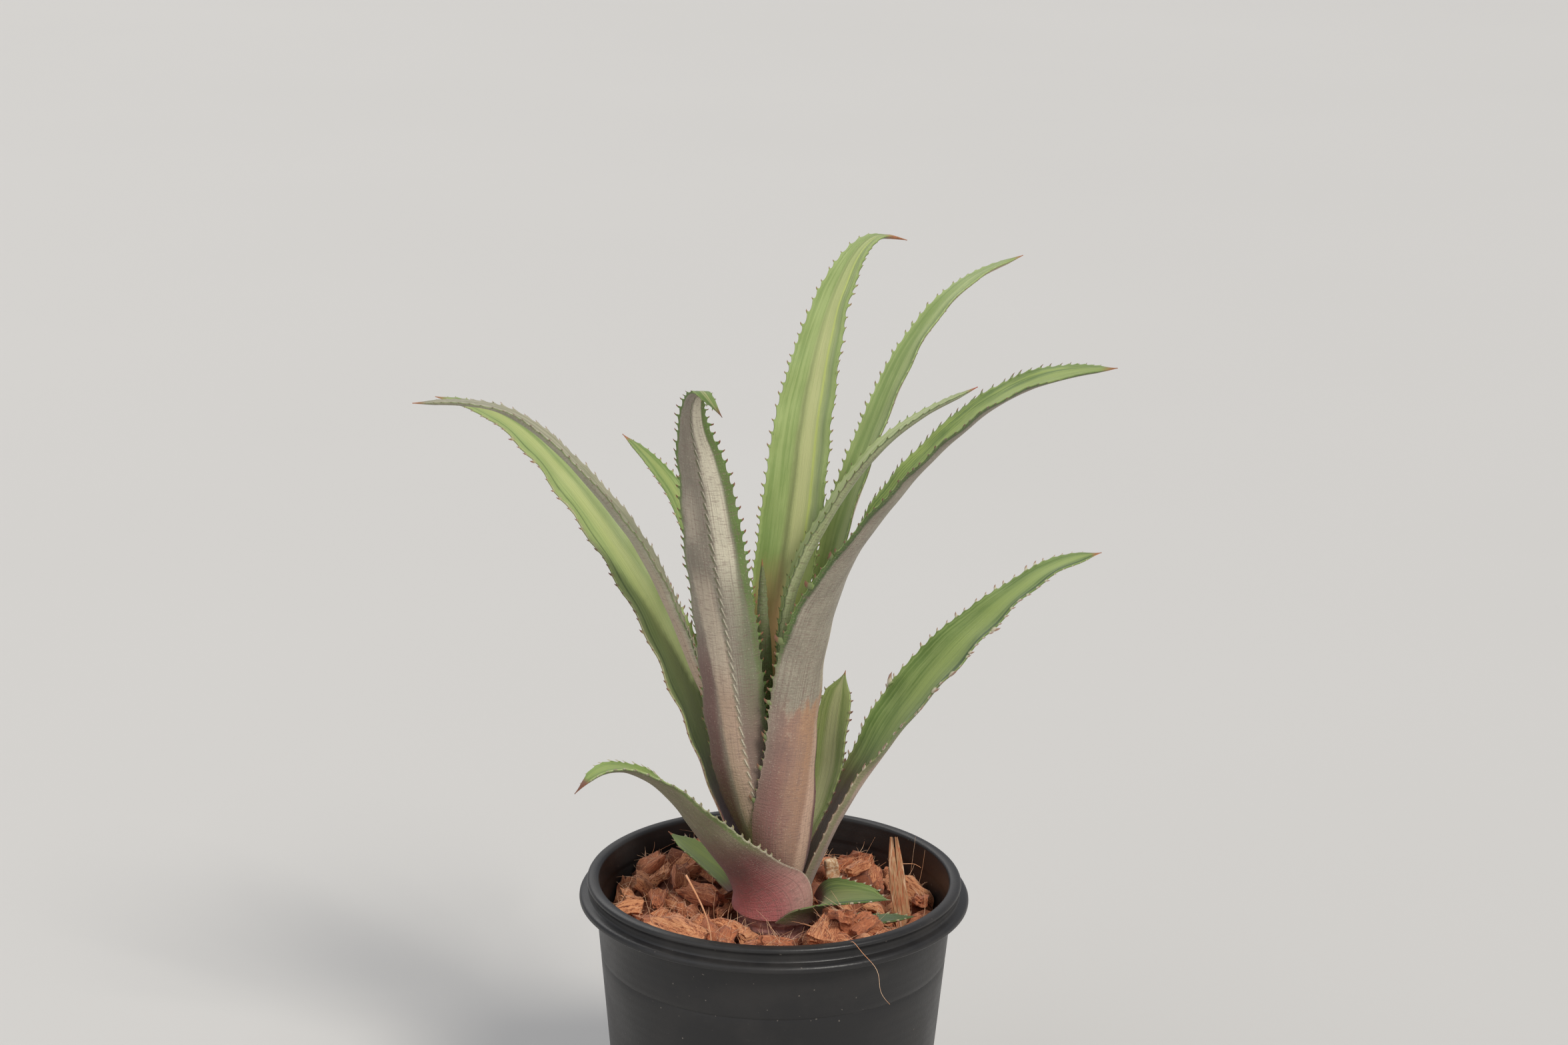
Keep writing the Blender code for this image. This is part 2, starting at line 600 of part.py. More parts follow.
def medium_core(paint):
    """Filling of the pot with a plain round hole for the stem."""
    hole = STEM_FOOT_RADIUS + GAP + 0.1
    floor = STEM_FOOT - GAP
    points = [(0.0, 0.0, floor)]
    rings = [[0]]

    def ring(radius, level):
        found = []
        for step in range(MEDIUM_SEGMENTS):
            angle = 2.0 * math.pi * step / MEDIUM_SEGMENTS
            across = radius * math.cos(angle)
            back = radius * math.sin(angle)
            height = medium_height(across, back) if level is None else level
            found.append(len(points))
            points.append((across, back, height))
        rings.append(found)

    ring(hole, floor)
    for radius in (hole, 12.0, 17.0, 23.0, 30.0, 35.5):
        ring(radius, None)
    edge = wall_radius(68.0) - WALL - 2.0 * GAP
    ring(edge, 67.6)
    ring(wall_radius(FLOOR_TOP + 2.0) - WALL - GAP - 0.1, FLOOR_TOP + 2.0)
    ring(wall_radius(FLOOR_TOP) - WALL - GAP - 1.9, FLOOR_TOP + GAP)
    rings.append([len(points)])
    points.append((0.0, 0.0, FLOOR_TOP + GAP))
    faces = []
    for low, high in zip(rings, rings[1:]):
        for step in range(MEDIUM_SEGMENTS):
            after = (step + 1) % MEDIUM_SEGMENTS
            if len(low) == 1:
                faces.append((low[0], high[step], high[after]))
            elif len(high) == 1:
                faces.append((low[step], high[0], low[after]))
            else:
                faces.append((low[step], high[step], high[after], low[after]))
    return make_object("coir_medium", points, faces, paint)


def chip_points(rng, centre, half, flat, spin, tip):
    """Eight corners of one husk chip: a bent, uneven block."""
    corners = []
    for corner in range(8):
        sign = [1.0 if corner >> axis & 1 else -1.0 for axis in range(3)]
        size = [half, half * 0.72, half * flat]
        corners.append([sign[axis] * size[axis] * rng.uniform(0.72, 1.08) for axis in range(3)])
    corners = np.array(corners)
    turn = np.array([[math.cos(spin), -math.sin(spin), 0.0], [math.sin(spin), math.cos(spin), 0.0], [0, 0, 1.0]])
    lean = np.array([[1.0, 0, 0], [0, math.cos(tip), -math.sin(tip)], [0, math.sin(tip), math.cos(tip)]])
    return corners @ lean.T @ turn.T + np.array(centre)


CHIP_FACES = ((0, 2, 3, 1), (4, 5, 7, 6), (0, 1, 5, 4), (2, 6, 7, 3), (0, 4, 6, 2), (1, 3, 7, 5))


def near_leaves(points, guards):
    """Smallest distance from the points to the guarded leaf points."""
    away = np.linalg.norm(guards[None, :, :] - points[:, None, :], axis=2)
    return float(away.min())


def chip_samples(corners):
    """Corners, edge middles and face middles of a chip."""
    found = list(corners)
    for face in CHIP_FACES:
        loop = corners[list(face)]
        found.append(loop.mean(axis=0))
        found += [0.5 * (loop[step] + loop[(step + 1) % 4]) for step in range(4)]
    return np.array(found)


def splinter_solid(name, grow, paint):
    """Upright husk splinter; grow swells it into its slot."""
    points = []
    for (across, back, height), (wide, deep) in zip(SPLINTER_PATH, SPLINTER_HALF):
        drop = grow if height == SPLINTER_PATH[0][2] else 0.0
        for step in range(6):
            angle = math.pi * step / 3.0
            points.append((across + (wide + grow) * math.cos(angle), back + (deep + grow) * math.sin(angle),
                           height - drop))
    count = len(SPLINTER_PATH)
    faces = [tuple(range(6))[::-1], tuple(range(6 * count - 6, 6 * count))]
    for row in range(count - 1):
        for step in range(6):
            after = (step + 1) % 6
            faces.append((6 * row + step, 6 * row + after, 6 * row + 6 + after, 6 * row + 6 + step))
    return make_object(name, points, faces, paint)


def pale_chip_solid(name, grow, paint):
    """Upright pale husk chip with bevelled sides; grow swells it into its pocket."""
    half = [size + grow for size in PALE_CHIP_HALF]
    points = []
    for level, share in ((-1.0, 0.8), (-0.5, 1.0), (0.6, 1.0), (1.0, 0.72)):
        for across, back in ((-1.0, -0.7), (-0.5, -1.0), (0.8, -0.9), (1.0, 0.4), (0.5, 1.0), (-0.9, 0.8)):
            points.append((half[0] * across * share, half[1] * back * share, half[2] * level))
    faces = [tuple(range(6))[::-1], tuple(range(18, 24))]
    for row in range(3):
        for step in range(6):
            after = (step + 1) % 6
            faces.append((6 * row + step, 6 * row + after, 6 * row + 6 + after, 6 * row + 6 + step))
    made = make_object(name, points, faces, paint)
    lean, tip, spin = (math.radians(angle) for angle in PALE_CHIP_TURN)
    turn = Matrix.Rotation(spin, 4, "Z") @ Matrix.Rotation(tip, 4, "Y") @ Matrix.Rotation(lean, 4, "X")
    place = Matrix.Translation([value * MM for value in PALE_CHIP_CENTRE])
    made.data.transform(place @ turn)
    return made


def points_of(made):
    return np.array([tuple(vert.co) for vert in made.data.vertices]) / MM


def build_medium(guards):
    """Medium with its husk chips fused on; a chip that would reach a leaf or the wall is left out."""
    paint = material("coir_brown", (0.23, 0.11, 0.055), 0.9)
    pale = material("husk_pale", (0.62, 0.47, 0.3), 0.85)
    core = medium_core(paint)
    splinter = splinter_solid("husk_splinter", 0.0, material("husk_tan", (0.42, 0.23, 0.1), 0.9))
    chip = pale_chip_solid("husk_chip_pale", 0.0, pale)
    loose = np.concatenate((points_of(splinter), points_of(chip)))
    guards = np.concatenate((guards, loose[loose[:, 2] < 90.0]))
    rng = np.random.default_rng(CHIP_SEED)
    chips = bpy.data.collections.new("husk_chips")
    for radius, count in CHIP_RINGS:
        for step in range(count):
            angle = 2.0 * math.pi * (step + rng.uniform(-0.3, 0.3)) / count
            away = radius + rng.uniform(-1.6, 1.6)
            half = rng.uniform(*CHIP_HALF)
            flat = rng.uniform(*CHIP_FLAT)
            spin = rng.uniform(0.0, math.pi)
            tip = rng.uniform(-0.75, 0.75)
            across = away * math.cos(angle)
            back = away * math.sin(angle)
            lift = half * flat * 0.35
            corners = chip_points(rng, (across, back, medium_height(across, back) + lift), half, flat, spin, tip)
            if np.hypot(corners[:, 0], corners[:, 1]).max() > CHIP_WALL_LIMIT:
                continue
            if np.hypot(corners[:, 0], corners[:, 1]).min() < STEM_FOOT_RADIUS + 1.2:
                continue
            if near_leaves(chip_samples(corners), guards) < 1.9:
                continue
            chips.objects.link(make_object("chip", corners, CHIP_FACES, paint))
    join_group(core, chips, "UNION")
    slots = bpy.data.collections.new("slots")
    slots.objects.link(splinter_solid("slot", GAP + 0.1, paint))
    slots.objects.link(pale_chip_solid("pocket", GAP + 0.04, paint))
    join_group(core, slots, "DIFFERENCE")
    tidy_solid(core)
    core.data.shade_smooth()
    return core


def build_stem():
    paint = material("stem_brown", (0.2, 0.1, 0.06), 0.8)
    profile = [(0.0, STEM_FOOT), (STEM_FOOT_RADIUS * 0.8, STEM_FOOT), (STEM_FOOT_RADIUS, 58.5),
               (STEM_FOOT_RADIUS, 72.0), (7.6, 75.0), (6.4, 78.5), (5.2, 82.0), (4.2, 86.0), (3.2, 91.0),
               (2.3, 95.0), (STEM_TOP_RADIUS, STEM_TOP - 0.6), (0.0, STEM_TOP)]
    return lathe("stem", profile, STEM_SIDES, paint)


def build():
    clear_scene()
    build_pot()
    guards = []
    for name, leaf in LEAVES.items():
        made = leaf_body(name, leaf)
        low = points_of(made)
        guards.append(low[low[:, 2] < 90.0])
    build_stem()
    build_medium(np.concatenate(guards))


build()
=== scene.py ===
"""Potted cryptanthus: a toothed bromeliad rosette in coir husk chips, in a plain round pot.

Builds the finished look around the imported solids. Sizes are real millimetres in the tables and
metres in the scene, with +Z up, the front facing -Y and the pot's flat base on the floor.
"""

import math
import random
from contextlib import contextmanager
from dataclasses import dataclass

import bpy
import numpy as np
from bpy.props import FloatProperty, FloatVectorProperty, IntProperty, PointerProperty
from mathutils import Matrix, Vector, noise
from mathutils.bvhtree import BVHTree


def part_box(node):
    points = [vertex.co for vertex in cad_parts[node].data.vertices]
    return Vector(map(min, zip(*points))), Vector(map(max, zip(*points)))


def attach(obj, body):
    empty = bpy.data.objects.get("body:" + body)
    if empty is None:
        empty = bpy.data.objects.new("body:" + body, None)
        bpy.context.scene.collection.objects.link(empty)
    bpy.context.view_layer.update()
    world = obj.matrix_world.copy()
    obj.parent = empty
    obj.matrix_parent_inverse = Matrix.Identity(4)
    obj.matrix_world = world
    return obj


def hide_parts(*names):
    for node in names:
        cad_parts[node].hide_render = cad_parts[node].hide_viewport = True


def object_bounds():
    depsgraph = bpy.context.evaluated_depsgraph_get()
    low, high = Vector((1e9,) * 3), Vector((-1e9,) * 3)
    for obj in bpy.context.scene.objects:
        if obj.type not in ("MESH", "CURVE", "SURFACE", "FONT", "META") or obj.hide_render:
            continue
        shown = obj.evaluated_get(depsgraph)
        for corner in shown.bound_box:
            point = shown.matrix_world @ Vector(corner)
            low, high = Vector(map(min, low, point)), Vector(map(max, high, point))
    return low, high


bl_info = {
    "name": "Potted cryptanthus",
    "version": (1, 0, 0),
    "blender": (4, 5, 0),
    "location": "3D View > Sidebar > Plant",
    "description": "Toothed leaves, husk chips and pot of a potted cryptanthus",
    "category": "Object",
}

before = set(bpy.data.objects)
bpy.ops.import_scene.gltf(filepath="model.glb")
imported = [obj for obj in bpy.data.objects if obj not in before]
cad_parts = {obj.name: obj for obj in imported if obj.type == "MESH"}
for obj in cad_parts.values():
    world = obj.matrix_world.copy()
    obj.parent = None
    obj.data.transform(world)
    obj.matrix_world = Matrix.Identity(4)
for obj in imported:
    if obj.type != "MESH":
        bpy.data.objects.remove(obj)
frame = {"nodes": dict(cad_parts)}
CAD_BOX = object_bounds()

MM = 0.001
BODY = "root"

# Leaf colours
SAGE = (0.255, 0.345, 0.105)
SAGE_LIGHT = (0.37, 0.455, 0.165)
LEAF_GREEN = (0.13, 0.215, 0.045)
DEEP_GREEN = (0.05, 0.1, 0.022)
YELLOW_GREEN = (0.36, 0.46, 0.11)
CREAM = (0.6, 0.59, 0.27)
STRIPE_YELLOW = (0.52, 0.58, 0.16)
OLIVE = (0.19, 0.21, 0.08)
GREY_GREEN = (0.25, 0.28, 0.16)
SCURF_GREY = (0.235, 0.205, 0.155)
SCURF_SILVER = (0.4, 0.365, 0.28)
SCURF_WHITE = (0.72, 0.66, 0.5)
PINK_WHITE = (0.62, 0.5, 0.4)
BEIGE = (0.56, 0.46, 0.31)
TAN_PINK = (0.56, 0.36, 0.26)
MAUVE = (0.235, 0.15, 0.125)
MAUVE_BROWN = (0.29, 0.16, 0.12)
BASE_PINK = (0.4, 0.17, 0.155)
BASE_PURPLE = (0.15, 0.05, 0.05)
TIP_ORANGE = (0.5, 0.2, 0.09)
TIP_BROWN = (0.24, 0.095, 0.05)
SPINE_PALE = (0.4, 0.36, 0.19)
SPINE_TIP = (0.22, 0.085, 0.06)
# Colour of the painted shadow line beside each imprint
IMPRINT_SHADOW = (0.12, 0.13, 0.06)

# Medium colours
# COIR_DARK is painted shade in the coir's hollows; COIR_ORANGE is partly the fibres' own orange and partly a
# painted highlight on lit ends
COIR_DARK = (0.13, 0.04, 0.02)
COIR_RED = (0.46, 0.15, 0.065)
COIR_ORANGE = (0.72, 0.33, 0.155)
COIR_PALE = (0.8, 0.54, 0.35)
HUSK_TAN = (0.5, 0.28, 0.14)
HUSK_CREAM = (0.82, 0.66, 0.45)

# Pot
CHARCOAL = (0.015, 0.0145, 0.015)
DUST = (0.3, 0.26, 0.22)
POT_HEIGHT = 80.0
BEAD_RADIUS = 45.0
LIP_RADIUS = 43.2
MOUTH_RADIUS = 40.4
BODY_TOP_RADIUS = 41.2
STEP_HEIGHT = 61.5
BASE_RADIUS = 34.4
FLOOR_TOP = 1.8
WALL = 0.95
WALL_TOP = 74.5
DRAIN_COUNT = 6
DRAIN_RADIUS = 3.2
DRAIN_CIRCLE = 22.0

# Stem, and the bed under the chips
STEM_FOOT_RADIUS = 8.2
STEM_HOLE_DEPTH = 12.4
GAP = 0.3
BED_LOW = FLOOR_TOP + GAP
BED_HEIGHT = 66.0
BED_RINGS = 22
BED_SINK = 1.7

# Camera: the view that the plant is seen from
CAMERA_PLACE = (1.0, -760.8, 389.6)
CAMERA_TILT = 16.45
CAMERA_ROLL = 0.88
CAMERA_ANGLE = 25.0

# Blades, in millimetres: thickness at the margin, bare length at the tip and waves of margin and face
MARGIN_THIN = 0.62
BARE_TIP = 2.6
MARGIN_WAVES = (31.0, 17.0, 9.0)
FACE_WAVES = (23.0, 11.0)
THICKNESS_STEPS = 24

# Medium: rings that chips and fibres start in and their clearance from the wall, in millimetres
CHIP_RING = (10.0, 38.2)
FIBRE_RING = (10.0, 37.5)
WALL_CLEARANCE = 0.35
CHIP_MODELS = 9
TRIES_PER_CHIP = 14
TRIES_PER_FIBRE = 6
FIBRE_POINTS = 6
LOOSE_POINTS = 26
SPLINTER_STRANDS = 23
SPLINTER_POINTS = 22
# Nothing of the medium comes nearer to a leaf than this, in metres
LEAF_CLEARANCE = 0.0004


@dataclass
class Leaf:
    """One leaf: its midrib in the upright plane at azimuth (0 is the front, + is to the right).

    path holds (reach from the stem's axis, height, sideways drift) in millimetres.
    width, fold and turn are (fraction of the length, value) pairs: the width across the arc in
    millimetres, half the channel's angle and the turn about the midrib in degrees.
    """
    azimuth: float
    path: tuple
    width: tuple
    fold: tuple
    turn: tuple = ((0.0, 0.0),)
    sheath: float = 0.08
    opened: float = 0.25
    thick: float = 1.0
    wave: float = 0.7
    wave_length: float = 13.0
    wave_shift: float = 0.0
    teeth_from: float = 0.14
    cells: int = 4


LEAVES = {
    "leaf_front": Leaf(
        azimuth=-30,
        path=((5.5, 85, 0), (7, 91, -0.8), (8.6, 98, -2.2), (11, 112, -4), (14, 134, -4.9),
              (19.6, 160, -5.4), (26.6, 185, -5.2), (33.4, 198, -2.6), (39, 203.5, 3.4), (42, 200, 10)),
        width=((0, 11.4), (0.14, 15.2), (0.3, 15.8), (0.45, 15.4), (0.62, 14.4), (0.75, 11.2), (0.85, 6),
               (1, 0.7)),
        fold=((0, 57), (0.12, 52), (0.25, 46), (0.5, 27), (0.8, 24), (1, 10)),
        turn=((0, 0), (0.1, 8), (0.2, 16), (0.33, 16), (0.5, 10), (1, 8)),
        wave=0.6),
    "leaf_right_arching": Leaf(
        azimuth=57,
        path=((5.1, 80.5, -4.2), (6.4, 87, -5.1), (7.2, 95, -5.4), (8.8, 112, -4.2), (10.6, 131, -3.4),
              (16.8, 153, -1.9), (30.4, 175.5, -0.2), (47, 194.5, 0.4), (65, 207.3, 0.2), (83.4, 213, 0)),
        width=((0, 13.6), (0.1, 17.3), (0.2, 16.4), (0.3, 17.6), (0.4, 20), (0.52, 17.6), (0.7, 13.2),
               (0.87, 8.6), (0.96, 3.4), (1, 0.7)),
        fold=((0, 60), (0.25, 48), (0.4, 41), (0.6, 48), (0.75, 40), (0.9, 32), (1, 20)),
        turn=((0, -39), (0.1, -36), (0.2, -20), (0.3, -12), (0.42, 3), (0.55, 19), (0.7, 25), (1, 20)),
        wave=0.6),
    "leaf_left_folded": Leaf(
        azimuth=-84,
        path=((4.9, 89, 0), (6.5, 98, -0.8), (10.6, 110, -2.7), (17, 124.5, -3.5), (31, 157.5, -1.4),
              (46.3, 178.5, 0), (62.4, 191.6, 0), (81.5, 193.5, 0)),
        width=((0, 9.2), (0.2, 10.4), (0.5, 12), (0.8, 6.8), (1, 0.7)),
        fold=((0, 57), (0.3, 52), (1, 30)),
        wave=0.4),
    "leaf_left_open": Leaf(
        azimuth=-112,
        path=((6.3, 81.5, 0), (8.4, 86, 0), (10.6, 91.5, 0), (19, 113, 0), (34.4, 144.5, 0),
              (51.4, 166, 0), (71.8, 182, 0), (86.5, 184.5, 0)),
        width=((0, 12.3), (0.12, 15.2), (0.25, 16.6), (0.5, 14.6), (0.75, 10), (0.9, 5), (1, 0.7)),
        fold=((0, 56), (0.3, 40), (1, 22)),
        turn=((0, 0), (0.2, -10), (0.45, -15), (1, -18)),
        wave=0.8),
    "leaf_left_small": Leaf(
        azimuth=-136,
        path=((3.4, 94, 0), (5.8, 105, 2.2), (9.8, 118, 4.2), (17.8, 137, 2.6), (27.6, 154, 0),
              (38.6, 167, 0), (53.4, 174.6, 0)),
        width=((0, 6), (0.25, 5.9), (0.45, 6.9), (0.7, 7.4), (0.9, 4), (1, 0.7)),
        fold=((0, 54), (0.3, 42), (1, 25)),
        wave=0.3),
    "leaf_tall_back": Leaf(
        azimuth=165,
        path=((4.55, 90.5, 0.2), (5.8, 103, 1.4), (7, 118, 2.2), (8.4, 135, 2.4), (11.6, 160, 0.3),
              (17.4, 185.5, -1.2), (24, 205, -3.6), (30, 217.5, -7), (35.6, 223.6, -11.6),
              (41, 222.6, -18.2)),
        width=((0, 8.2), (0.2, 11.4), (0.5, 15), (0.65, 13.4), (0.8, 9), (0.9, 5.4), (1, 0.7)),
        fold=((0, 52), (0.3, 36), (0.7, 30), (1, 15)),
        wave=0.6),
    "leaf_tall_right": Leaf(
        azimuth=123,
        path=((5.1, 86.5, 0), (6.8, 94, -0.4), (8.1, 106, 0.3), (9.5, 121, 0.4), (11.8, 139, 0),
              (17.4, 163.5, -0.5), (27.2, 186.8, -0.2), (37.2, 203.7, 0), (50.2, 214.6, 0),
              (65.5, 219.3, 0)),
        width=((0, 9.2), (0.12, 8.8), (0.3, 8.8), (0.5, 10.4), (0.75, 8), (0.9, 4.6), (1, 0.7)),
        fold=((0, 56), (0.3, 46), (0.7, 36), (1, 20)),
        wave=0.5),
    "leaf_right_inner": Leaf(
        azimuth=90,
        path=((3.42, 93.5, -0.1), (3.3, 108, -0.4), (2.6, 124, -0.6), (2.4, 140, -0.5), (5.6, 154.5, 0),
              (11.2, 166, 0), (21.6, 181.6, 0), (34.6, 192.2, 0), (43.5, 197, 0)),
        width=((0, 7), (0.3, 9.5), (0.6, 9), (0.85, 5.5), (1, 0.7)),
        fold=((0, 58), (0.4, 62), (1, 35)),
        opened=0.1,
        wave=0.3),
    "leaf_right_low": Leaf(
        azimuth=105,
        path=((8, 76.5, 0), (9.8, 81, 0), (12.4, 87, 0), (16.6, 95, 0), (23.2, 106, 0), (37, 125.4, 0),
              (54, 142.4, 0), (66, 150.2, 0), (77, 153, 0)),
        width=((0, 16.4), (0.12, 17.2), (0.3, 16.8), (0.42, 19), (0.5, 17.6), (0.6, 15.2), (0.72, 10.6),
               (0.82, 7.2), (0.92, 5), (1, 0.7)),
        fold=((0, 66), (0.14, 56), (0.3, 48), (0.45, 40), (1, 24)),
        turn=((0, -6), (0.12, -12), (0.28, -7), (0.42, 3), (0.6, 13), (1, 18)),
        wave=0.8,
        cells=6),
    "leaf_short_upright": Leaf(
        azimuth=125,
        path=((5.9, 84, 0), (8.8, 88.5, 0), (12.4, 94.5, 0), (15.2, 104, 0), (16.4, 115, 0),
              (19.2, 126.4, 0)),
        width=((0, 6.6), (0.25, 6.6), (0.5, 9.8), (0.75, 9.6), (0.9, 6.6), (1, 0.7)),
        fold=((0, 36), (0.5, 28), (1, 18)),
        turn=((0, 0), (0.4, 10), (1, 14)),
        wave=0.3),
    "leaf_centre_spike": Leaf(
        azimuth=-10,
        path=((0.4, 99.5, 0), (0.6, 115, -1.6), (1, 135, -3), (1.4, 156.5, -3.6)),
        width=((0, 2.6), (0.4, 3.6), (0.8, 2.6), (1, 0.7)),
        fold=((0, 60), (1, 60)),
        sheath=0,
        opened=0.01,
        thick=0.9,
        wave=0,
        teeth_from=1.1),
    "leaf_lower_left": Leaf(
        azimuth=-60,
        path=((8.1, 72.6, 4.68), (8.4, 75.4, 4.7), (9.9, 79, 4), (13.2, 84.4, 2.2), (18, 91, 0.7),
              (25.9, 102, 0), (35.2, 110.6, 0), (45.4, 113, 0), (51.4, 109, 0)),
        width=((0, 32), (0.04, 32.4), (0.12, 27.5), (0.26, 25.6), (0.42, 20.6), (0.6, 14.4), (0.8, 7),
               (0.92, 3.4), (1, 0.7)),
        fold=((0, 86), (0.12, 80), (0.26, 64), (0.45, 46), (1, 28)),
        turn=((0, 30), (0.06, 25), (0.15, 12), (0.3, 3), (1, 0)),
        wave=0.5,
        sheath=0.1,
        opened=0.42,
        teeth_from=0.24,
        cells=8),
    "leaf_lower_left_short": Leaf(
        azimuth=-122,
        path=((10.3, 74.2, 0), (14.4, 77.2, 0), (21, 80.4, 0), (29.6, 84.2, 0)),
        width=((0, 9.8), (0.4, 8.8), (0.75, 6), (1, 0.7)),
        fold=((0, 26), (0.5, 24), (1, 15)),
        wave=0.3,
        thick=0.9,
        teeth_from=0.3),
    "leaf_lower_right_short": Leaf(
        azimuth=62,
        path=((10.9, 71.4, 0), (11.6, 73.6, 0), (16, 77.2, 0), (22.4, 79, 0), (30, 80, 0)),
        width=((0, 23), (0.2, 18), (0.45, 11.4), (0.75, 7), (1, 0.7)),
        fold=((0, 60), (0.2, 50), (0.5, 30), (1, 15)),
        turn=((0, 0), (0.25, 8), (0.5, 10), (1, 8)),
        wave=0.4,
        sheath=0.1,
        opened=0.5,
        thick=0.9,
        teeth_from=0.3,
        cells=6),
    "leaf_lower_right_tiny": Leaf(
        azimuth=75,
        path=((12.9, 69.9, 0), (18, 70.5, 0), (26, 71.8, 0), (34, 74, 0)),
        width=((0, 7), (0.4, 6.4), (0.75, 4.2), (1, 0.7)),
        fold=((0, 26), (0.5, 24), (1, 15)),
        wave=0.3,
        thick=0.9,
        teeth_from=0.35),
    "leaf_back_short": Leaf(
        azimuth=180,
        path=((8.7, 74.5, 0), (12, 80, 0), (18.6, 85.6, 0), (28, 89.6, 0)),
        width=((0, 9.4), (0.4, 10.5), (0.75, 6.5), (1, 0.7)),
        fold=((0, 31), (0.5, 28), (1, 15)),
        wave=0.4,
        thick=0.9,
        teeth_from=0.3),
}


@dataclass
class Band:
    """One marking that runs along a leaf; a few bands are painted shadow or painted light instead.

    path holds (fraction of the length, centre across from -1 to 1, half width, strength).
    """
    path: tuple
    colour: tuple
    soft: float = 0.1
    rag: float = 0.05


@dataclass
class Imprint:
    """The toothed mark that a neighbour's margin has pressed into the scurf, with a painted shadow line
    beside it.

    path holds (fraction of the length, centre across from -1 to 1); pitch is in millimetres.
    """
    path: tuple
    pitch: float = 2.7


@dataclass
class Look:
    """Colours and markings of one leaf; upper is the inner face and lower the scurfy outer one.

    hooks holds (margin, fraction of the length, millimetres) of the spines that outgrow the rest;
    spine_size is the size of the others against the usual one.
    """
    upper: tuple = (SAGE, SAGE_LIGHT)
    lower: tuple = (SCURF_GREY, SCURF_SILVER)
    upper_bands: tuple = ()
    lower_bands: tuple = ()
    imprints: tuple = ()
    upper_base: tuple = (0.1, 0.2, BASE_PURPLE)
    lower_base: tuple = (0.14, 0.3, MAUVE)
    upper_edge: tuple = (SAGE_LIGHT, 0.45, 0.94)
    lower_edge: tuple = (LEAF_GREEN, 0.8, 0.91)
    tip: tuple = (0.965, TIP_ORANGE)
    spine: tuple = (SPINE_PALE, SPINE_TIP)
    rim: tuple = (SCURF_WHITE, 0.0, 0.0)
    hooks: tuple = ()
    spine_size: float = 1.0


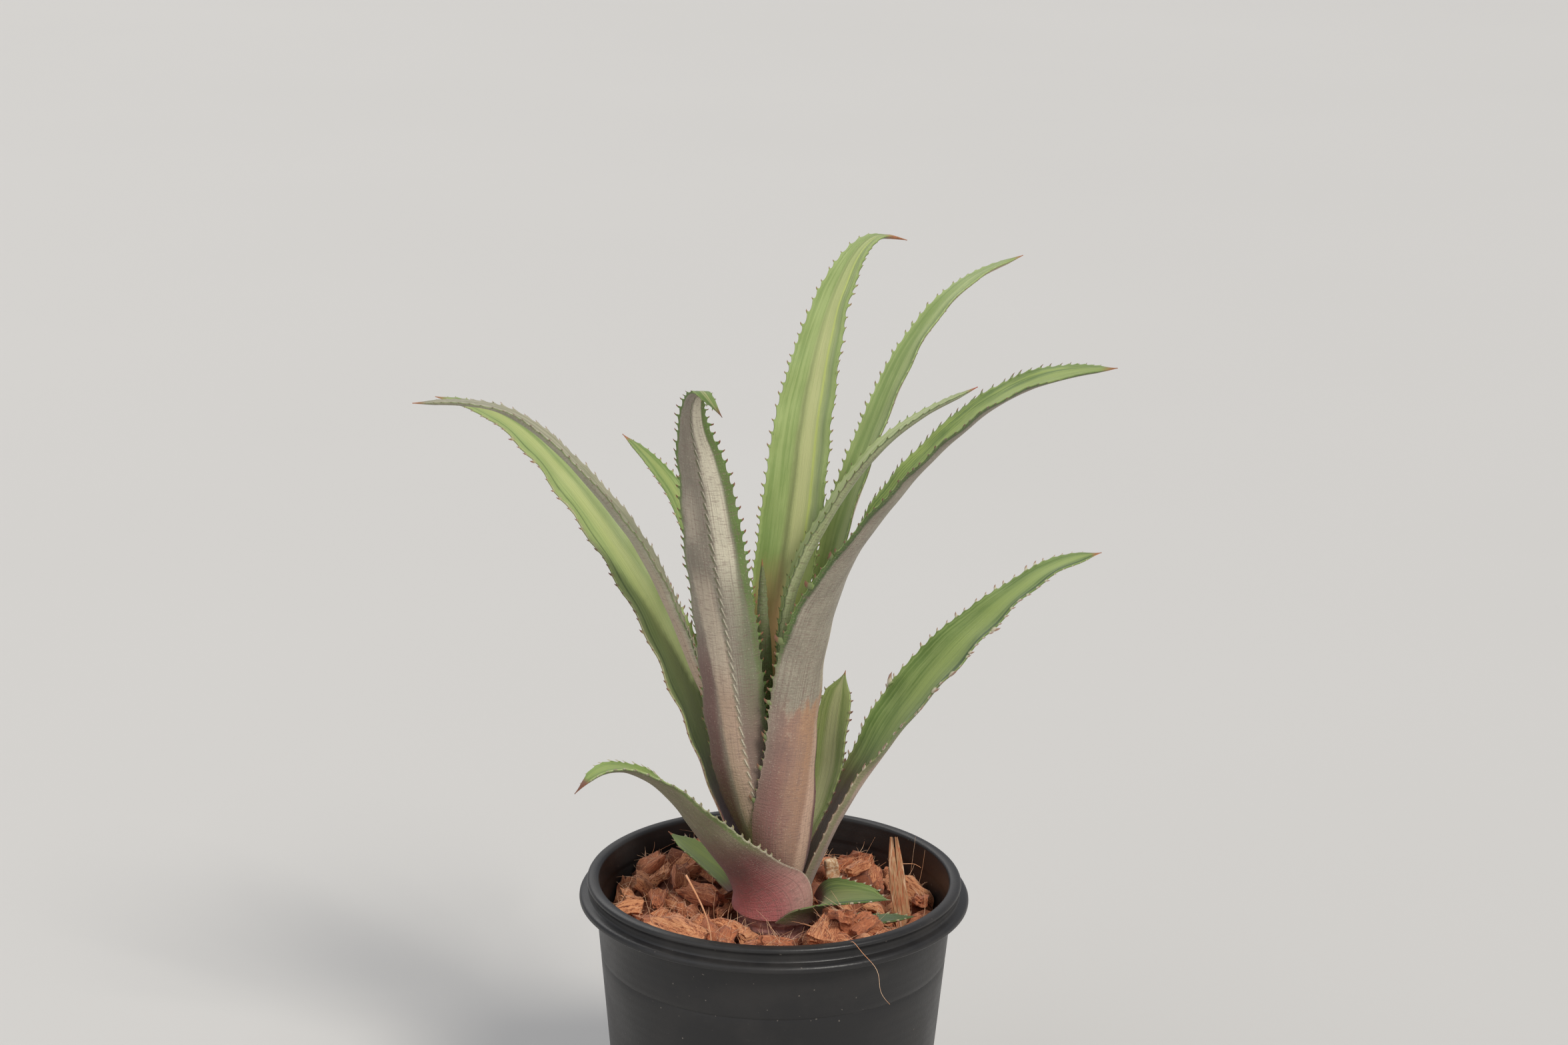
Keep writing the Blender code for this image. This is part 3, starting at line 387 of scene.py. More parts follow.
LOOKS = {
    "leaf_front": Look(
        upper=(LEAF_GREEN, SAGE),
        lower=(SCURF_GREY, (0.33, 0.29, 0.225)),
        upper_bands=(Band(((0.1, 0, 0.3, 0.5), (0.9, 0, 0.3, 0.5)), CREAM),),
        lower_bands=(
            Band(((0, 0.75, 0.3, 0.9), (0.3, 0.72, 0.32, 0.9), (0.5, 0.78, 0.3, 0.8),
                  (1, 0.8, 0.3, 0.6)), (0.2, 0.215, 0.125), 0.2),
            # Painted shadow: the lower right near the base is darkened to mauve as the shadow of
            # leaf_right_arching
            Band(((0.02, 0.6, 0.4, 0.9), (0.24, 0.6, 0.38, 0.8), (0.36, 0.6, 0.3, 0),
                  (1, 0.6, 0.3, 0)), MAUVE, 0.15),
            Band(((0.4, 0.42, 0.2, 0), (0.5, 0.42, 0.24, 0.3), (0.58, 0.4, 0.27, 1),
                  (0.86, 0.36, 0.3, 1), (0.95, 0.3, 0.3, 0.5)), SCURF_WHITE, 0.07),
            Band(((0.4, 0.93, 0.1, 0.5), (0.6, 0.9, 0.14, 0.9), (1, 0.85, 0.2, 1)), LEAF_GREEN, 0.06),
            Band(((0.5, -0.98, 0.05, 0.3), (0.7, -0.97, 0.08, 0.9), (1, -0.9, 0.12, 1)), LEAF_GREEN, 0.05),
            Band(((0.585, -0.6, 0.2, 0), (0.615, -0.6, 0.26, 0.6), (0.655, -0.58, 0.26, 0.75),
                  (0.68, -0.58, 0.2, 0.4), (0.71, -0.58, 0.2, 0)), (0.56, 0.48, 0.37), 0.2, 0.2),
            Band(((0, -0.72, 0.4, 0.95), (0.15, -0.68, 0.36, 0.9), (0.36, -0.7, 0.3, 0.7),
                  (0.46, -0.75, 0.2, 0)), BASE_PURPLE, 0.16),
            Band(((0, 0.2, 0.3, 0.9), (0.2, 0.04, 0.26, 0.95), (0.35, -0.14, 0.24, 0.9),
                  (0.43, -0.2, 0.24, 0)), (0.5, 0.345, 0.25), 0.07, 0.05),
            Band(((0.3, -0.08, 0.24, 0), (0.38, -0.2, 0.26, 0.9), (0.5, -0.42, 0.32, 0.9),
                  (0.52, -0.45, 0.32, 0.7), (0.55, -0.45, 0.3, 0)), (0.54, 0.45, 0.34), 0.08, 0.08)),
        imprints=(Imprint(((0.06, 0.44), (0.2, 0.32), (0.4, 0.2), (0.6, 0.12), (0.9, 0.03))),),
        lower_base=(-0.1, 0.3, (0.25, 0.165, 0.12)),
        lower_edge=(LEAF_GREEN, 0, 0.9),
        tip=(0.975, TIP_BROWN),
        spine=(LEAF_GREEN, TIP_BROWN)),
    "leaf_right_arching": Look(
        upper=(LEAF_GREEN, YELLOW_GREEN),
        lower=(SCURF_GREY, (0.38, 0.34, 0.26)),
        upper_bands=(Band(((0.3, -0.3, 0.3, 0), (0.5, -0.3, 0.5, 0.85),
                           (1, -0.3, 0.6, 0.9)), YELLOW_GREEN, 0.2),),
        lower_bands=(
            Band(((0.3, 0.85, 0.25, 0.8), (0.5, 0.85, 0.3, 0.9), (0.68, 0.9, 0.25, 0.6),
                  (0.8, 0.9, 0.2, 0)), BEIGE, 0.18),
            Band(((0.5, -0.2, 0.3, 0), (0.62, -0.1, 0.5, 0.8), (1, 0, 0.6, 0.8)), SCURF_SILVER, 0.2),
            Band(((0.31, -0.97, 0.05, 0), (0.36, -0.96, 0.08, 0.95), (0.5, -0.94, 0.1, 1),
                  (1, -0.94, 0.1, 0.8)), DEEP_GREEN, 0.05),
            Band(((0, 0.28, 0.8, 1), (0.252, 0.28, 0.9, 1), (0.282, 0.28, 0.9, 0)),
                  (0.36, 0.215, 0.155), 0.3, 0.45),
            Band(((0.265, 0.2, 0.8, 0), (0.27, 0.2, 0.8, 0.22), (0.276, 0.2, 0.8, 0.18),
                  (0.281, 0.2, 0.8, 0)), SCURF_WHITE, 0.3, 1.2),
            Band(((0, 0.1, 0.2, 0), (0.1, 0.2, 0.24, 0.2), (0.2, 0.3, 0.34, 0.5),
                  (0.262, 0.3, 0.44, 0.7), (0.275, 0.4, 0.34, 0)), (0.5, 0.28, 0.15), 0.24, 0.25),
            Band(((0, 0.5, 0.28, 0.8), (0.12, 0.62, 0.22, 0.9), (0.22, 0.7, 0.2, 0.9),
                  (0.27, 0.74, 0.2, 0)), (0.64, 0.43, 0.31), 0.1),
            Band(((0, 1, 0.26, 0.95), (0.2, 1, 0.2, 0.95), (0.3, 1, 0.12, 0)), BASE_PURPLE, 0.07),
            Band(((0, -0.6, 0.4, 0.75), (0.12, -0.65, 0.36, 0.7), (0.24, -0.75, 0.25, 0.5),
                  (0.3, -0.9, 0.2, 0)), (0.24, 0.1, 0.09), 0.25, 0.3)),
        lower_base=(0, 0.24, BASE_PINK),
        lower_edge=(LEAF_GREEN, 0.5, 0.93),
        spine=((0.17, 0.21, 0.08), (0.2, 0.09, 0.05)),
        hooks=((-1, 0.36, 2.8), (-1, 0.45, 3), (-1, 0.5, 2.2), (-1, 0.12, 1.9), (-1, 0.17, 1.9),
               (-1, 0.22, 2), (-1, 0.27, 1.9)),
        tip=(0.975, TIP_ORANGE)),
    "leaf_left_folded": Look(
        upper=((0.3, 0.3, 0.19), (0.47, 0.44, 0.31)),
        # Outer face: grey scurf, lightened as painted light where it lies in shade
        lower=((0.38, 0.34, 0.25), (0.56, 0.5, 0.38)),
        upper_edge=(SCURF_SILVER, 0.5, 0.9),
        spine=((0.5, 0.46, 0.33), (0.33, 0.2, 0.14)),
        spine_size=0.8,
        lower_bands=(
            Band(((0.3, 0.5, 0.5, 0), (0.5, 0.5, 0.5, 0.45), (1, 0.3, 0.5, 0.7)), GREY_GREEN, 0.3, 0.2),
            Band(((0, 0.3, 0.6, 0.9), (0.2, 0.35, 0.5, 0.8), (0.45, 0.4, 0.4, 0.4),
                  (0.6, 0.4, 0.3, 0)), TAN_PINK, 0.2, 0.2)),
        lower_edge=(LEAF_GREEN, 0.7, 0.94),
        lower_base=(0.02, 0.22, MAUVE_BROWN),
        tip=(0.975, TIP_ORANGE)),
    "leaf_left_open": Look(
        upper_bands=(
            Band(((0.1, -0.1, 0.3, 0.2), (0.3, -0.12, 0.34, 0.75), (0.7, -0.1, 0.34, 0.9),
                  (0.92, 0, 0.4, 0.6)), (0.46, 0.51, 0.19), 0.22),
            Band(((0.15, 0.62, 0.03, 0.5), (0.3, 0.66, 0.035, 0.8),
                  (0.8, 0.66, 0.03, 0.8)), DEEP_GREEN, 0.05, 0.04),
            Band(((0.15, 0.84, 0.1, 0.3), (0.4, 0.84, 0.12, 0.8),
                  (0.9, 0.84, 0.12, 0.7)), SAGE_LIGHT, 0.08, 0.1),
            Band(((0.25, 1, 0.05, 0.5), (0.42, 1, 0.09, 0.95), (0.55, 1, 0.03, 0.3),
                  (0.66, 1, 0.09, 0.9), (0.8, 1, 0.04, 0.5)), PINK_WHITE, 0.05, 0.3),
            Band(((0.2, -0.45, 0.1, 0.5), (0.8, -0.45, 0.1, 0.6)), LEAF_GREEN, 0.12),
            Band(((0.1, -0.35, 0.6, 0.75), (0.4, -0.4, 0.5, 0.7), (0.6, -0.5, 0.4, 0.4),
                  (0.75, -0.5, 0.3, 0)), (0.26, 0.29, 0.13), 0.3)),
        lower=(TAN_PINK, PINK_WHITE),
        upper_base=(0.1, 0.24, BASE_PURPLE),
        lower_base=(0.1, 0.3, MAUVE_BROWN),
        upper_edge=(YELLOW_GREEN, 0.4, 0.95),
        tip=(0.975, TIP_ORANGE)),
    "leaf_left_small": Look(
        upper=(LEAF_GREEN, (0.29, 0.37, 0.12)),
        upper_bands=(Band(((0.1, 0, 0.35, 0.6), (1, 0, 0.35, 0.6)), (0.38, 0.44, 0.14), 0.25),),
        lower=(GREY_GREEN, SAGE_LIGHT),
        lower_base=(0.1, 0.3, MAUVE),
        spine_size=0.8),
    "leaf_tall_back": Look(
        upper_bands=(
            Band(((0, -0.3, 0.3, 0.5), (0.2, -0.3, 0.28, 0.7), (0.45, -0.22, 0.33, 1),
                  (0.75, -0.2, 0.3, 0.9), (0.92, -0.2, 0.25, 0.4)), (0.54, 0.55, 0.25), 0.26, 0.06),
            Band(((0.2, -0.53, 0.035, 0.6), (0.5, -0.5, 0.04, 1),
                  (0.9, -0.45, 0.05, 0.8)), STRIPE_YELLOW, 0.04, 0.02),
            Band(((0.25, -0.74, 0.1, 0.6), (0.9, -0.7, 0.1, 0.5)), GREY_GREEN, 0.12),
            Band(((0.2, 0.1, 0.09, 0.5), (0.5, 0.12, 0.08, 0.85), (0.8, 0.1, 0.06, 0.4)), OLIVE, 0.1, 0.06),
            Band(((0.22, 0.7, 0.3, 0), (0.36, 0.7, 0.3, 0.7), (0.5, 0.72, 0.2, 0.3),
                  (0.6, 0.72, 0.2, 0)), LEAF_GREEN, 0.2),
            # Orange-tan lower stretch: the leaf's own colour, made brighter as painted light where it lies in
            # shade
            Band(((0, 0.2, 0.8, 0.95), (0.24, 0.25, 0.75, 0.95), (0.34, 0.35, 0.55, 0.75),
                  (0.43, 0.45, 0.4, 0)), (0.66, 0.37, 0.19), 0.2, 0.15),
            Band(((0, -0.6, 0.4, 0.8), (0.3, -0.6, 0.35, 0.7), (0.5, -0.6, 0.3, 0)), STRIPE_YELLOW, 0.2)),
        upper_base=(0, 0.12, BASE_PINK),
        upper_edge=(SAGE_LIGHT, 0.5, 0.95),
        spine=((0.3, 0.38, 0.12), (0.28, 0.17, 0.09)),
        spine_size=0.78,
        tip=(0.955, TIP_ORANGE)),
    "leaf_tall_right": Look(
        upper_bands=(
            Band(((0.1, -0.4, 0.34, 0.9), (0.4, -0.4, 0.3, 0.9), (0.7, -0.36, 0.22, 0.8),
                  (0.95, -0.3, 0.2, 0.4)), (0.46, 0.53, 0.22), 0.22, 0.05),
            Band(((0.2, -0.84, 0.05, 0.5), (0.9, -0.8, 0.06, 0.5)), LEAF_GREEN, 0.1, 0.03),
            Band(((0.1, 0.6, 0.2, 0.25), (0.9, 0.6, 0.2, 0.25)), LEAF_GREEN, 0.25)),
        lower=(TAN_PINK, PINK_WHITE),
        upper_edge=(SAGE_LIGHT, 0.5, 0.95),
        spine=(SAGE_LIGHT, (0.26, 0.18, 0.09)),
        spine_size=0.85,
        tip=(0.978, TIP_ORANGE)),
    "leaf_right_inner": Look(
        upper=((0.36, 0.43, 0.17), (0.5, 0.55, 0.28)),
        lower=((0.42, 0.46, 0.24), (0.56, 0.58, 0.36)),
        upper_base=(0.02, 0.2, STRIPE_YELLOW),
        lower_bands=(Band(((0.6, -0.3, 0.5, 0), (0.75, -0.3, 0.6, 0.6),
                           (1, -0.3, 0.7, 0.7)), GREY_GREEN, 0.3, 0.2),),
        lower_base=(0.02, 0.3, STRIPE_YELLOW),
        lower_edge=(DEEP_GREEN, 0.75, 0.955),
        spine=((0.2, 0.28, 0.08), (0.16, 0.12, 0.05)),
        spine_size=0.7,
        tip=(0.975, (0.5, 0.1, 0.05))),
    "leaf_right_low": Look(
        upper=(LEAF_GREEN, SAGE),
        upper_bands=(
            Band(((0.25, -0.1, 0.3, 0.2), (0.5, -0.1, 0.35, 0.75), (0.95, 0, 0.4, 0.8)),
                  (0.36, 0.46, 0.13), 0.3),
            Band(((0.2, -0.86, 0.1, 0.6), (0.4, -0.85, 0.12, 0.95),
                  (0.8, -0.85, 0.1, 0.9)), DEEP_GREEN, 0.06)),
        lower=((0.4, 0.29, 0.21), (0.54, 0.41, 0.31)),
        lower_bands=(
            Band(((0.3, -0.86, 0.12, 0.6), (0.45, -0.84, 0.14, 0.95),
                  (1, -0.8, 0.2, 0.9)), LEAF_GREEN, 0.06),
            Band(((0, 0, 0.9, 0.8), (0.12, 0, 0.9, 0.6), (0.25, 0, 0.8, 0)), MAUVE, 0.3, 0.2)),
        upper_base=(0.18, 0.36, (0.145, 0.09, 0.055)),
        lower_base=(-0.1, 0.1, MAUVE_BROWN),
        upper_edge=(SAGE_LIGHT, 0.2, 0.96),
        spine=((0.6, 0.55, 0.4), (0.36, 0.21, 0.15)),
        hooks=((1, 0.465, 3.4), (-1, 0.3, 1.8), (-1, 0.36, 1.9), (-1, 0.42, 2), (-1, 0.47, 2),
               (-1, 0.52, 2.2), (-1, 0.57, 2.1), (-1, 0.63, 2), (-1, 0.7, 1.9), (-1, 0.78, 1.6)),
        tip=(0.97, TIP_ORANGE)),
    "leaf_short_upright": Look(
        upper=((0.26, 0.35, 0.1), (0.38, 0.46, 0.16)),
        upper_bands=(Band(((0.1, 0.05, 0.5, 0.85), (0.4, 0.05, 0.46, 1), (0.85, 0.05, 0.3, 0.8)),
                           (0.57, 0.6, 0.3), 0.2, 0.08),),
        upper_base=(0, 0.25, MAUVE_BROWN),
        upper_edge=(SAGE_LIGHT, 0.6, 0.95),
        tip=(0.97, TIP_ORANGE)),
    "leaf_centre_spike": Look(
        upper=(OLIVE, SAGE),
        lower=(OLIVE, GREY_GREEN),
        lower_base=(0, 0.4, MAUVE_BROWN)),
    "leaf_lower_left": Look(
        upper=((0.16, 0.26, 0.05), (0.33, 0.45, 0.09)),
        upper_bands=(Band(((0.4, 0, 0.4, 0), (0.6, 0, 0.5, 0.8), (0.9, 0, 0.5, 0.6)), YELLOW_GREEN, 0.2),),
        lower=((0.17, 0.165, 0.09), (0.27, 0.255, 0.15)),
        lower_bands=(
            Band(((0, 0.1, 0.9, 1), (0.22, 0.1, 0.9, 0.9), (0.34, 0, 0.8, 0.4), (0.42, 0, 0.8, 0)),
                  (0.19, 0.075, 0.075), 0.3, 0.15),
            Band(((0, 0.2, 0.9, 0.95), (0.07, 0.2, 0.8, 0.8), (0.19, 0.2, 0.5, 0)),
                  (0.56, 0.18, 0.175), 0.3, 0.12),
            Band(((0, 0.8, 0.3, 0.8), (0.08, 0.8, 0.26, 0.7), (0.2, 0.85, 0.2, 0)),
                  (0.58, 0.35, 0.3), 0.2, 0.08),
            Band(((0.03, 0.62, 0.14, 0), (0.1, 0.62, 0.16, 0.4), (0.2, 0.6, 0.12, 0.3),
                  (0.26, 0.6, 0.1, 0)), (0.36, 0.08, 0.085), 0.2, 0.12),
            Band(((0.16, -0.25, 0.1, 0), (0.24, -0.3, 0.12, 0.7), (0.5, -0.4, 0.14, 0.6),
                  (0.7, -0.4, 0.1, 0)), (0.42, 0.37, 0.24), 0.14, 0.2)),
        lower_base=(-0.1, 0.22, BASE_PURPLE),
        lower_edge=(LEAF_GREEN, 0.85, 0.9),
        upper_edge=(SAGE_LIGHT, 0.4, 0.95),
        rim=(SCURF_WHITE, 0.5, 0.3),
        spine=((0.5, 0.46, 0.34), SPINE_PALE),
        tip=(0.93, TIP_BROWN)),
    "leaf_lower_left_short": Look(
        upper=(SAGE, YELLOW_GREEN),
        lower=(GREY_GREEN, SAGE_LIGHT),
        upper_base=(0, 0.2, MAUVE_BROWN),
        tip=(0.93, TIP_ORANGE)),
    "leaf_lower_right_short": Look(
        upper=((0.1, 0.17, 0.03), (0.22, 0.3, 0.07)),
        upper_bands=(
            Band(((0.1, 0.1, 0.4, 0.5), (0.4, 0.1, 0.45, 0.8), (0.9, 0.1, 0.4, 0.2)),
                  (0.25, 0.28, 0.09), 0.25),
            Band(((0.1, -0.8, 0.14, 0.9), (0.9, -0.8, 0.16, 0.95)), DEEP_GREEN, 0.08)),
        lower=(LEAF_GREEN, (0.13, 0.19, 0.06)),
        lower_bands=(Band(((0, 0, 0.9, 0.9), (0.12, 0, 0.9, 0.7), (0.3, 0.3, 0.6, 0)), BASE_PURPLE, 0.3),),
        upper_base=(0.05, 0.2, BASE_PURPLE),
        lower_base=(-0.1, 0.1, BASE_PURPLE),
        lower_edge=(DEEP_GREEN, 0.9, 0.8),
        upper_edge=(LEAF_GREEN, 0.3, 0.95),
        spine=((0.5, 0.46, 0.32), TIP_BROWN),
        tip=(0.95, SPINE_PALE)),
    "leaf_lower_right_tiny": Look(
        upper=(DEEP_GREEN, (0.08, 0.14, 0.035)),
        lower=(DEEP_GREEN, (0.08, 0.11, 0.05)),
        upper_edge=(LEAF_GREEN, 0.2, 0.95),
        tip=(0.95, TIP_BROWN)),
    "leaf_back_short": Look(
        upper=(LEAF_GREEN, SAGE),
        upper_bands=(Band(((0.1, 0, 0.3, 0.5), (0.8, 0, 0.3, 0.6)), CREAM, 0.2),)),
}


class Wire:
    """A socket of a material's nodes; arithmetic on it adds the nodes that work it out."""

    def __init__(self, paint, socket):
        self.paint = paint
        self.socket = socket

    def __add__(self, other):
        return self.paint.maths("ADD", self, other)

    def __sub__(self, other):
        return self.paint.maths("SUBTRACT", self, other)

    def __mul__(self, other):
        return self.paint.maths("MULTIPLY", self, other)

    def __rsub__(self, other):
        return self.paint.maths("SUBTRACT", other, self)

    def __abs__(self):
        return self.paint.maths("ABSOLUTE", self)

    __radd__ = __add__
    __rmul__ = __mul__


class Paint:
    """One material, worked out with nodes."""

    def __init__(self, name):
        self.material = bpy.data.materials.new(name)
        self.material.use_nodes = True
        self.tree = self.material.node_tree
        self.shader = self.tree.nodes["Principled BSDF"]

    def node(self, kind, settings=None, sockets=None, out=0):
        """Adds a node: its settings first, then the values or wires of its sockets."""
        made = self.tree.nodes.new(kind)
        for key, value in (settings or {}).items():
            if key == "stops":
                self.stops(made.color_ramp, value)
            else:
                setattr(made, key, value)
        for key, value in (sockets or {}).items():
            self.feed(made.inputs[key], value)
        self.last = made
        return Wire(self, made.outputs[out])

    def outputs(self, count):
        return [Wire(self, self.last.outputs[index]) for index in range(count)]

    def feed(self, socket, value):
        if isinstance(value, Wire):
            self.tree.links.new(value.socket, socket)
        elif socket.type == "RGBA":
            socket.default_value = (*value[:3], 1.0)
        else:
            socket.default_value = value

    def stops(self, ramp, stops):
        while len(ramp.elements) > len(stops):
            ramp.elements.remove(ramp.elements[-1])
        while len(ramp.elements) < len(stops):
            ramp.elements.new(1.0)
        for element, (place, colour) in zip(ramp.elements, stops):
            element.position = place
            element.color = (*colour, 1.0)

    def maths(self, operation, *values):
        return self.node("ShaderNodeMath", {"operation": operation}, dict(enumerate(values)))

    def mix(self, factor, first, second):
        return self.node("ShaderNodeMix", {"data_type": "RGBA"}, {0: factor, 6: first, 7: second}, 2)

    def smooth(self, value, low, high, start=0.0, end=1.0):
        """Eases from start to end while the value goes from low to high."""
        return self.node("ShaderNodeMapRange", {"interpolation_type": "SMOOTHSTEP"},
                         {0: value, 1: low, 2: high, 3: start, 4: end})

    def noise(self, vector, scale, detail=2.0, rough=0.5, distortion=0.0):
        return self.node("ShaderNodeTexNoise", None,
                         {"Vector": vector, "Scale": scale, "Detail": detail, "Roughness": rough,
                          "Distortion": distortion})

    def vector(self, x, y, z):
        return self.node("ShaderNodeCombineXYZ", None, {0: x, 1: y, 2: z})

    def split(self, vector):
        self.node("ShaderNodeSeparateXYZ", None, {0: vector})
        return self.outputs(3)

    def attribute(self, name, out=1):
        return self.node("ShaderNodeAttribute", {"attribute_name": name}, None, out)

    def place(self):
        """Where the point lies in its piece, in metres."""
        return self.node("ShaderNodeTexCoord", None, None, 3)

    def stretch(self, vector, scale):
        return self.node("ShaderNodeMapping", None, {"Vector": vector, "Scale": scale})

    def millimetres(self):
        """Where the point lies in its piece, in millimetres."""
        return self.stretch(self.place(), (1000.0, 1000.0, 1000.0))

    def finish(self, colour, rough, height, bump, strength, fixed=None):
        """Wires the colour, roughness and bump; the fixed values go on the shader's own sockets."""
        self.feed(self.shader.inputs["Base Color"], colour)
        self.feed(self.shader.inputs["Roughness"], rough)
        normal = self.node("ShaderNodeBump", None, {"Strength": strength, "Distance": bump, "Height": height})
        self.feed(self.shader.inputs["Normal"], normal)
        for key, value in (fixed or {}).items():
            self.feed(self.shader.inputs[key], value)
        return self.material


class LeafPaint(Paint):
    """Material of one leaf, read from how far across and along the blade each point lies."""

    def __init__(self, name, leaf, look, blade):
        super().__init__(name)
        self.look = look
        self.length = blade.length
        self.half_width = 0.5 * max(pair[1] for pair in leaf.width)
        self.across, self.along, side = self.split(self.attribute("blade"))
        self.face = self.smooth(side, 0.4, 0.6)
        seed = leaf.azimuth * 0.37
        wide = self.across * self.half_width
        far = self.along * self.length
        self.streak = self.noise(self.vector(wide * 1.3, far * 0.03, seed), 1.0, 3.0, 0.6)
        self.lines = self.noise(self.vector(wide * 5.5, far * 0.05, seed + 3.0), 1.0, 2.0, 0.6)
        self.cross = self.noise(self.vector(wide * 0.5, far * 2.6, seed + 5.0), 1.0, 1.0, 0.5)
        self.mottle = self.noise(self.vector(wide * 0.35, far * 0.14, seed + 7.0), 1.0, 3.0, 0.6)
        self.speck = self.noise(self.millimetres(), 2.4, 2.0, 0.6)
        self.rag = self.mottle * 2.0 - 1.0 + (self.speck - 0.5) * 0.6

    def band_mask(self, band):
        """Strength of a band; its ramp carries centre, half width and strength."""
        stops = [(where, (0.5 * centre + 0.5, half, strength)) for where, centre, half, strength in band.path]
        ramp = self.node("ShaderNodeValToRGB", {"stops": stops}, {0: self.along + self.rag * band.rag * 0.14})
        centre, half, strength = self.split(ramp)
        away = abs(self.across + self.rag * band.rag - (centre * 2.0 - 1.0))
        return self.smooth(away - half, -band.soft, band.soft, 1.0, 0.0) * strength

    def imprint_mask(self, imprint, across, broad):
        """Thin toothed line: a saw wave along the leaf shifts its centre sideways."""
        stops = [(where, (0.5 * centre + 0.5, 0.0, 1.0)) for where, centre in imprint.path]
        centre = self.split(self.node("ShaderNodeValToRGB", {"stops": stops}, {0: self.along}))[0]
        saw = self.maths("FRACT", self.along * (self.length / imprint.pitch) + self.rag * 0.5)
        line = (centre * 2.0 - 1.0) - across
        away = abs(line - saw * (0.7 / self.half_width) + self.rag * 0.03)
        body = self.smooth(away, 0.1 * broad / self.half_width, 0.22 * broad / self.half_width, 1.0, 0.0)
        return body * self.smooth(saw, 0.02, 0.5, 0.35, 1.0)

    def base_mask(self, start, end):
        return self.smooth(self.along + self.rag * 0.03, start, end, 1.0, 0.0)

    def edge_mask(self, start, inner, outer):
        return self.smooth(abs(self.across), start - inner, start + outer)

    def upper_colour(self):
        """The inner face: streaked green under its bands, its margins and its base."""
        look = self.look
        colour = self.mix(self.smooth(self.streak * 0.7 + self.mottle * 0.3, 0.38, 0.62), *look.upper)
        for band in look.upper_bands:
            mask = self.band_mask(band) * self.smooth(self.streak, 0.25, 0.5, 0.72, 1.0)
            colour = self.mix(mask, colour, band.colour)
        edge, strength, start = look.upper_edge
        colour = self.mix(self.edge_mask(start, 0.07, 0.05) * strength, colour, edge)
        start, end, base = look.upper_base
        return self.mix(self.base_mask(start, end), colour, base)

    def lower_colour(self):
        """The outer face: fine scurf over its base, bands, margins and imprints, with a painted shadow line
        beside each imprint.
        """
        look = self.look
        grain = self.lines * 0.45 + self.speck * 0.25 + self.mottle * 0.3
        colour = self.mix(self.smooth(grain, 0.36, 0.62), *look.lower)
        start, end, base = look.lower_base
        colour = self.mix(self.base_mask(start, end) * 0.9, colour, base)
        for band in look.lower_bands:
            mask = self.band_mask(band) * self.smooth(grain, 0.3, 0.55, 0.75, 1.0)
            colour = self.mix(mask, colour, band.colour)
        edge, strength, start = look.lower_edge
        rim = self.edge_mask(start, 0.05, 0.04) * strength * self.smooth(self.along, 0.2, 0.4)
        colour = self.mix(rim, colour, edge)
        for imprint in look.imprints:
            # Painted shadow: a dark toothed line just beside the imprint stands in for the shadow of its
            # ridge; the pale imprint itself is scurf
            painted_shade_line = self.imprint_mask(imprint, self.across + 0.36 / self.half_width, 2.0)
            painted_shade_line = painted_shade_line * self.smooth(self.along, 0.3, 0.6, 0.35, 0.85)
            colour = self.mix(painted_shade_line, colour, IMPRINT_SHADOW)
            self.printed = self.imprint_mask(imprint, self.across, 1.2)
            colour = self.mix(self.printed * 0.7, colour, SCURF_WHITE)
        colour = self.mix(self.smooth(self.speck, 0.62, 0.72) * 0.3, colour, SCURF_WHITE)
        along_lines = self.smooth(self.lines, 0.34, 0.47, 0.42, 0.0)
        cross_lines = self.smooth(self.cross, 0.34, 0.46, 0.34, 0.0)
        return self.mix(along_lines + cross_lines, colour, MAUVE)

    def made(self):
        """Both faces with the rim, the tip and the spines, as the finished material."""
        look = self.look
        colour = self.mix(self.face, self.lower_colour(), self.upper_colour())
        rim, strength, end = look.rim
        if strength > 0.0:
            mask = self.smooth(abs(self.across), 0.965, 0.99)
            mask = mask * self.smooth(self.along, end, end + 0.2, 1.0, 0.3)
            colour = self.mix(mask * strength * self.smooth(self.speck, 0.3, 0.5), colour, rim)
        start, tip = look.tip
        colour = self.mix(self.smooth(self.along + self.rag * 0.004, start, start + 0.022), colour, tip)
        spine = self.attribute("spine", 2)
        colour = self.mix(self.smooth(spine, 0.04, 0.2), colour, look.spine[0])
        colour = self.mix(self.smooth(spine, 0.35, 0.8), colour, look.spine[1])
        rough = self.smooth(self.face, 0.0, 1.0, 0.78, 0.46) + (self.streak - 0.5) * 0.16
        outer = 1.0 - self.face
        relief = self.lines * 0.5 + self.streak * 0.4 + self.cross * outer * 0.5 + self.speck * outer * 0.5
        if look.imprints:
            relief = relief + self.printed * 1.2
        sheen = {"Sheen Weight": 0.12, "Sheen Roughness": 0.4}
        return self.finish(colour, rough, relief, 0.0002, 0.95, sheen)


def natural_spline(knots, values, where):
    """Cubic through the values at the knots with free ends."""
    count = len(knots)
    step = np.diff(knots)
    system = np.zeros((count, count))
    right = np.zeros((count, values.shape[1]))
    system[0, 0] = 1.0
    system[-1, -1] = 1.0
    slope = np.diff(values, axis=0) / step[:, None]
    for row in range(1, count - 1):
        system[row, row - 1] = step[row - 1]
        system[row, row] = 2.0 * (step[row - 1] + step[row])
        system[row, row + 1] = step[row]
        right[row] = 6.0 * (slope[row] - slope[row - 1])
    bend = np.linalg.solve(system, right)
    cell = np.clip(np.searchsorted(knots, where) - 1, 0, count - 2)
    width = step[cell][:, None]
    after = (knots[cell + 1] - where)[:, None]
    before = (where - knots[cell])[:, None]
    curve = bend[cell] * after ** 3 / (6.0 * width) + bend[cell + 1] * before ** 3 / (6.0 * width)
    low = values[cell] / width - bend[cell] * width / 6.0
    high = values[cell + 1] / width - bend[cell + 1] * width / 6.0
    return curve + low * after + high * before


